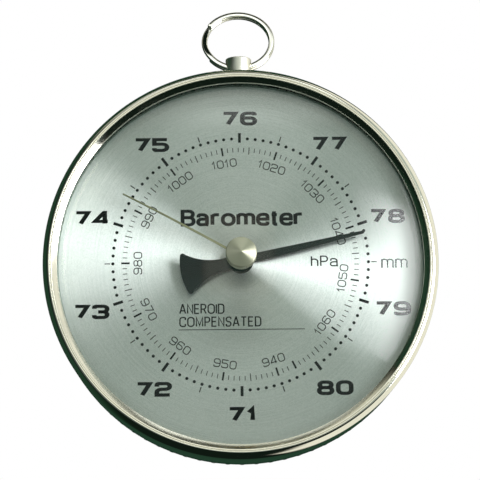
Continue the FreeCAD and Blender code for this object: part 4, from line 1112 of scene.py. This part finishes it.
# Soft panels round the object, in degrees. Azimuth is 0 at the front and 90 at the right side.
# First the range of azimuth, then of elevation: low edge, its softness, high edge, its softness.
# The lean is how far the panel drops for each degree to the right. Then brightness and colour.
# In order: dark surround, dim green wall behind at the right and at the left, key at the right,
# pale wall at the right, ceiling, its lower part at the left, top light, dim fill in front,
# and the small bright panel that the lip mirrors.
PANELS = [
    ((-200, 1, 200, 1), (-100, 1, 100, 1), 0, 0.012, (0.5, 1.0, 0.7)),
    ((150, 5, 200, 1), (-40, 15, 70, 8), 0, 0.05, (0.36, 1.0, 0.58)),
    ((-200, 1, -70, 8), (-40, 15, 70, 8), 0, 0.05, (0.36, 1.0, 0.58)),
    ((38, 10, 80, 8), (5.0, 0.8, 44, 4), 0.5, 10.4, (0.98, 0.99, 1.0)),
    ((70, 5, 150, 5), (-70, 5, 90, 1), 0, 1.0, (1.0, 1.0, 0.88)),
    ((-200, 1, 200, 1), (79, 3, 100, 1), 0, 0.9, (1.0, 1.0, 0.80)),
    ((-95, 4, -60, 6), (50, 8, 90, 1), 0, 0.8, (1.0, 1.0, 0.82)),
    ((-32, 28, 40, 10), (45, 4, 59, 3), 0, 2.4, (0.96, 1.0, 0.96)),
    ((-32, 28, 72, 10), (-26, 8, 50, 8), 0, 0.55, (0.84, 1.0, 0.92)),
    ((-9, 2, 9, 2), (1, 2, 21, 2), 0, 1.1, (1.0, 0.99, 0.86)),
]


def build_light():
    """A soft studio: bright panels at the right and overhead on a dark surround, white to the camera."""
    world = bpy.data.worlds.new("studio")
    bpy.context.scene.world = world
    world.use_nodes = True
    tree = world.node_tree
    tree.nodes.clear()
    split = tree.nodes.new("ShaderNodeSeparateXYZ")
    tree.links.new(tree.nodes.new("ShaderNodeTexCoord").outputs["Generated"], split.inputs[0])
    forward = math_node(tree, "MULTIPLY", split.outputs["Y"], -1.0)
    azimuth = math_node(tree, "DEGREES", math_node(tree, "ARCTAN2", split.outputs["X"], forward))
    elevation = math_node(tree, "DEGREES", math_node(tree, "ARCSINE", split.outputs["Z"]))
    total = None
    for sides, heights, lean, strength, colour in PANELS:
        level = math_node(tree, "ADD", elevation, math_node(tree, "MULTIPLY", azimuth, lean))
        share = math_node(tree, "MULTIPLY", window(tree, azimuth, *sides), window(tree, level, *heights))
        scaled = tree.nodes.new("ShaderNodeVectorMath")
        scaled.operation = "SCALE"
        scaled.inputs[0].default_value = [c * strength for c in colour]
        tree.links.new(share, scaled.inputs["Scale"])
        if total is None:
            total = scaled.outputs[0]
            continue
        add = tree.nodes.new("ShaderNodeVectorMath")
        add.operation = "MAXIMUM"
        tree.links.new(total, add.inputs[0])
        tree.links.new(scaled.outputs[0], add.inputs[1])
        total = add.outputs[0]
    light = tree.nodes.new("ShaderNodeBackground")
    tree.links.new(total, light.inputs["Color"])
    backdrop = tree.nodes.new("ShaderNodeBackground")
    backdrop.inputs["Color"].default_value = (1, 1, 1, 1)
    mix = tree.nodes.new("ShaderNodeMixShader")
    tree.links.new(tree.nodes.new("ShaderNodeLightPath").outputs["Is Camera Ray"], mix.inputs[0])
    tree.links.new(light.outputs[0], mix.inputs[1])
    tree.links.new(backdrop.outputs[0], mix.inputs[2])
    out = tree.nodes.new("ShaderNodeOutputWorld")
    tree.links.new(mix.outputs[0], out.inputs["Surface"])


bpy.context.scene.view_settings.view_transform = "Standard"
build_camera()
build_floor()
build_light()
build_pieces()
dress_cad_nodes()
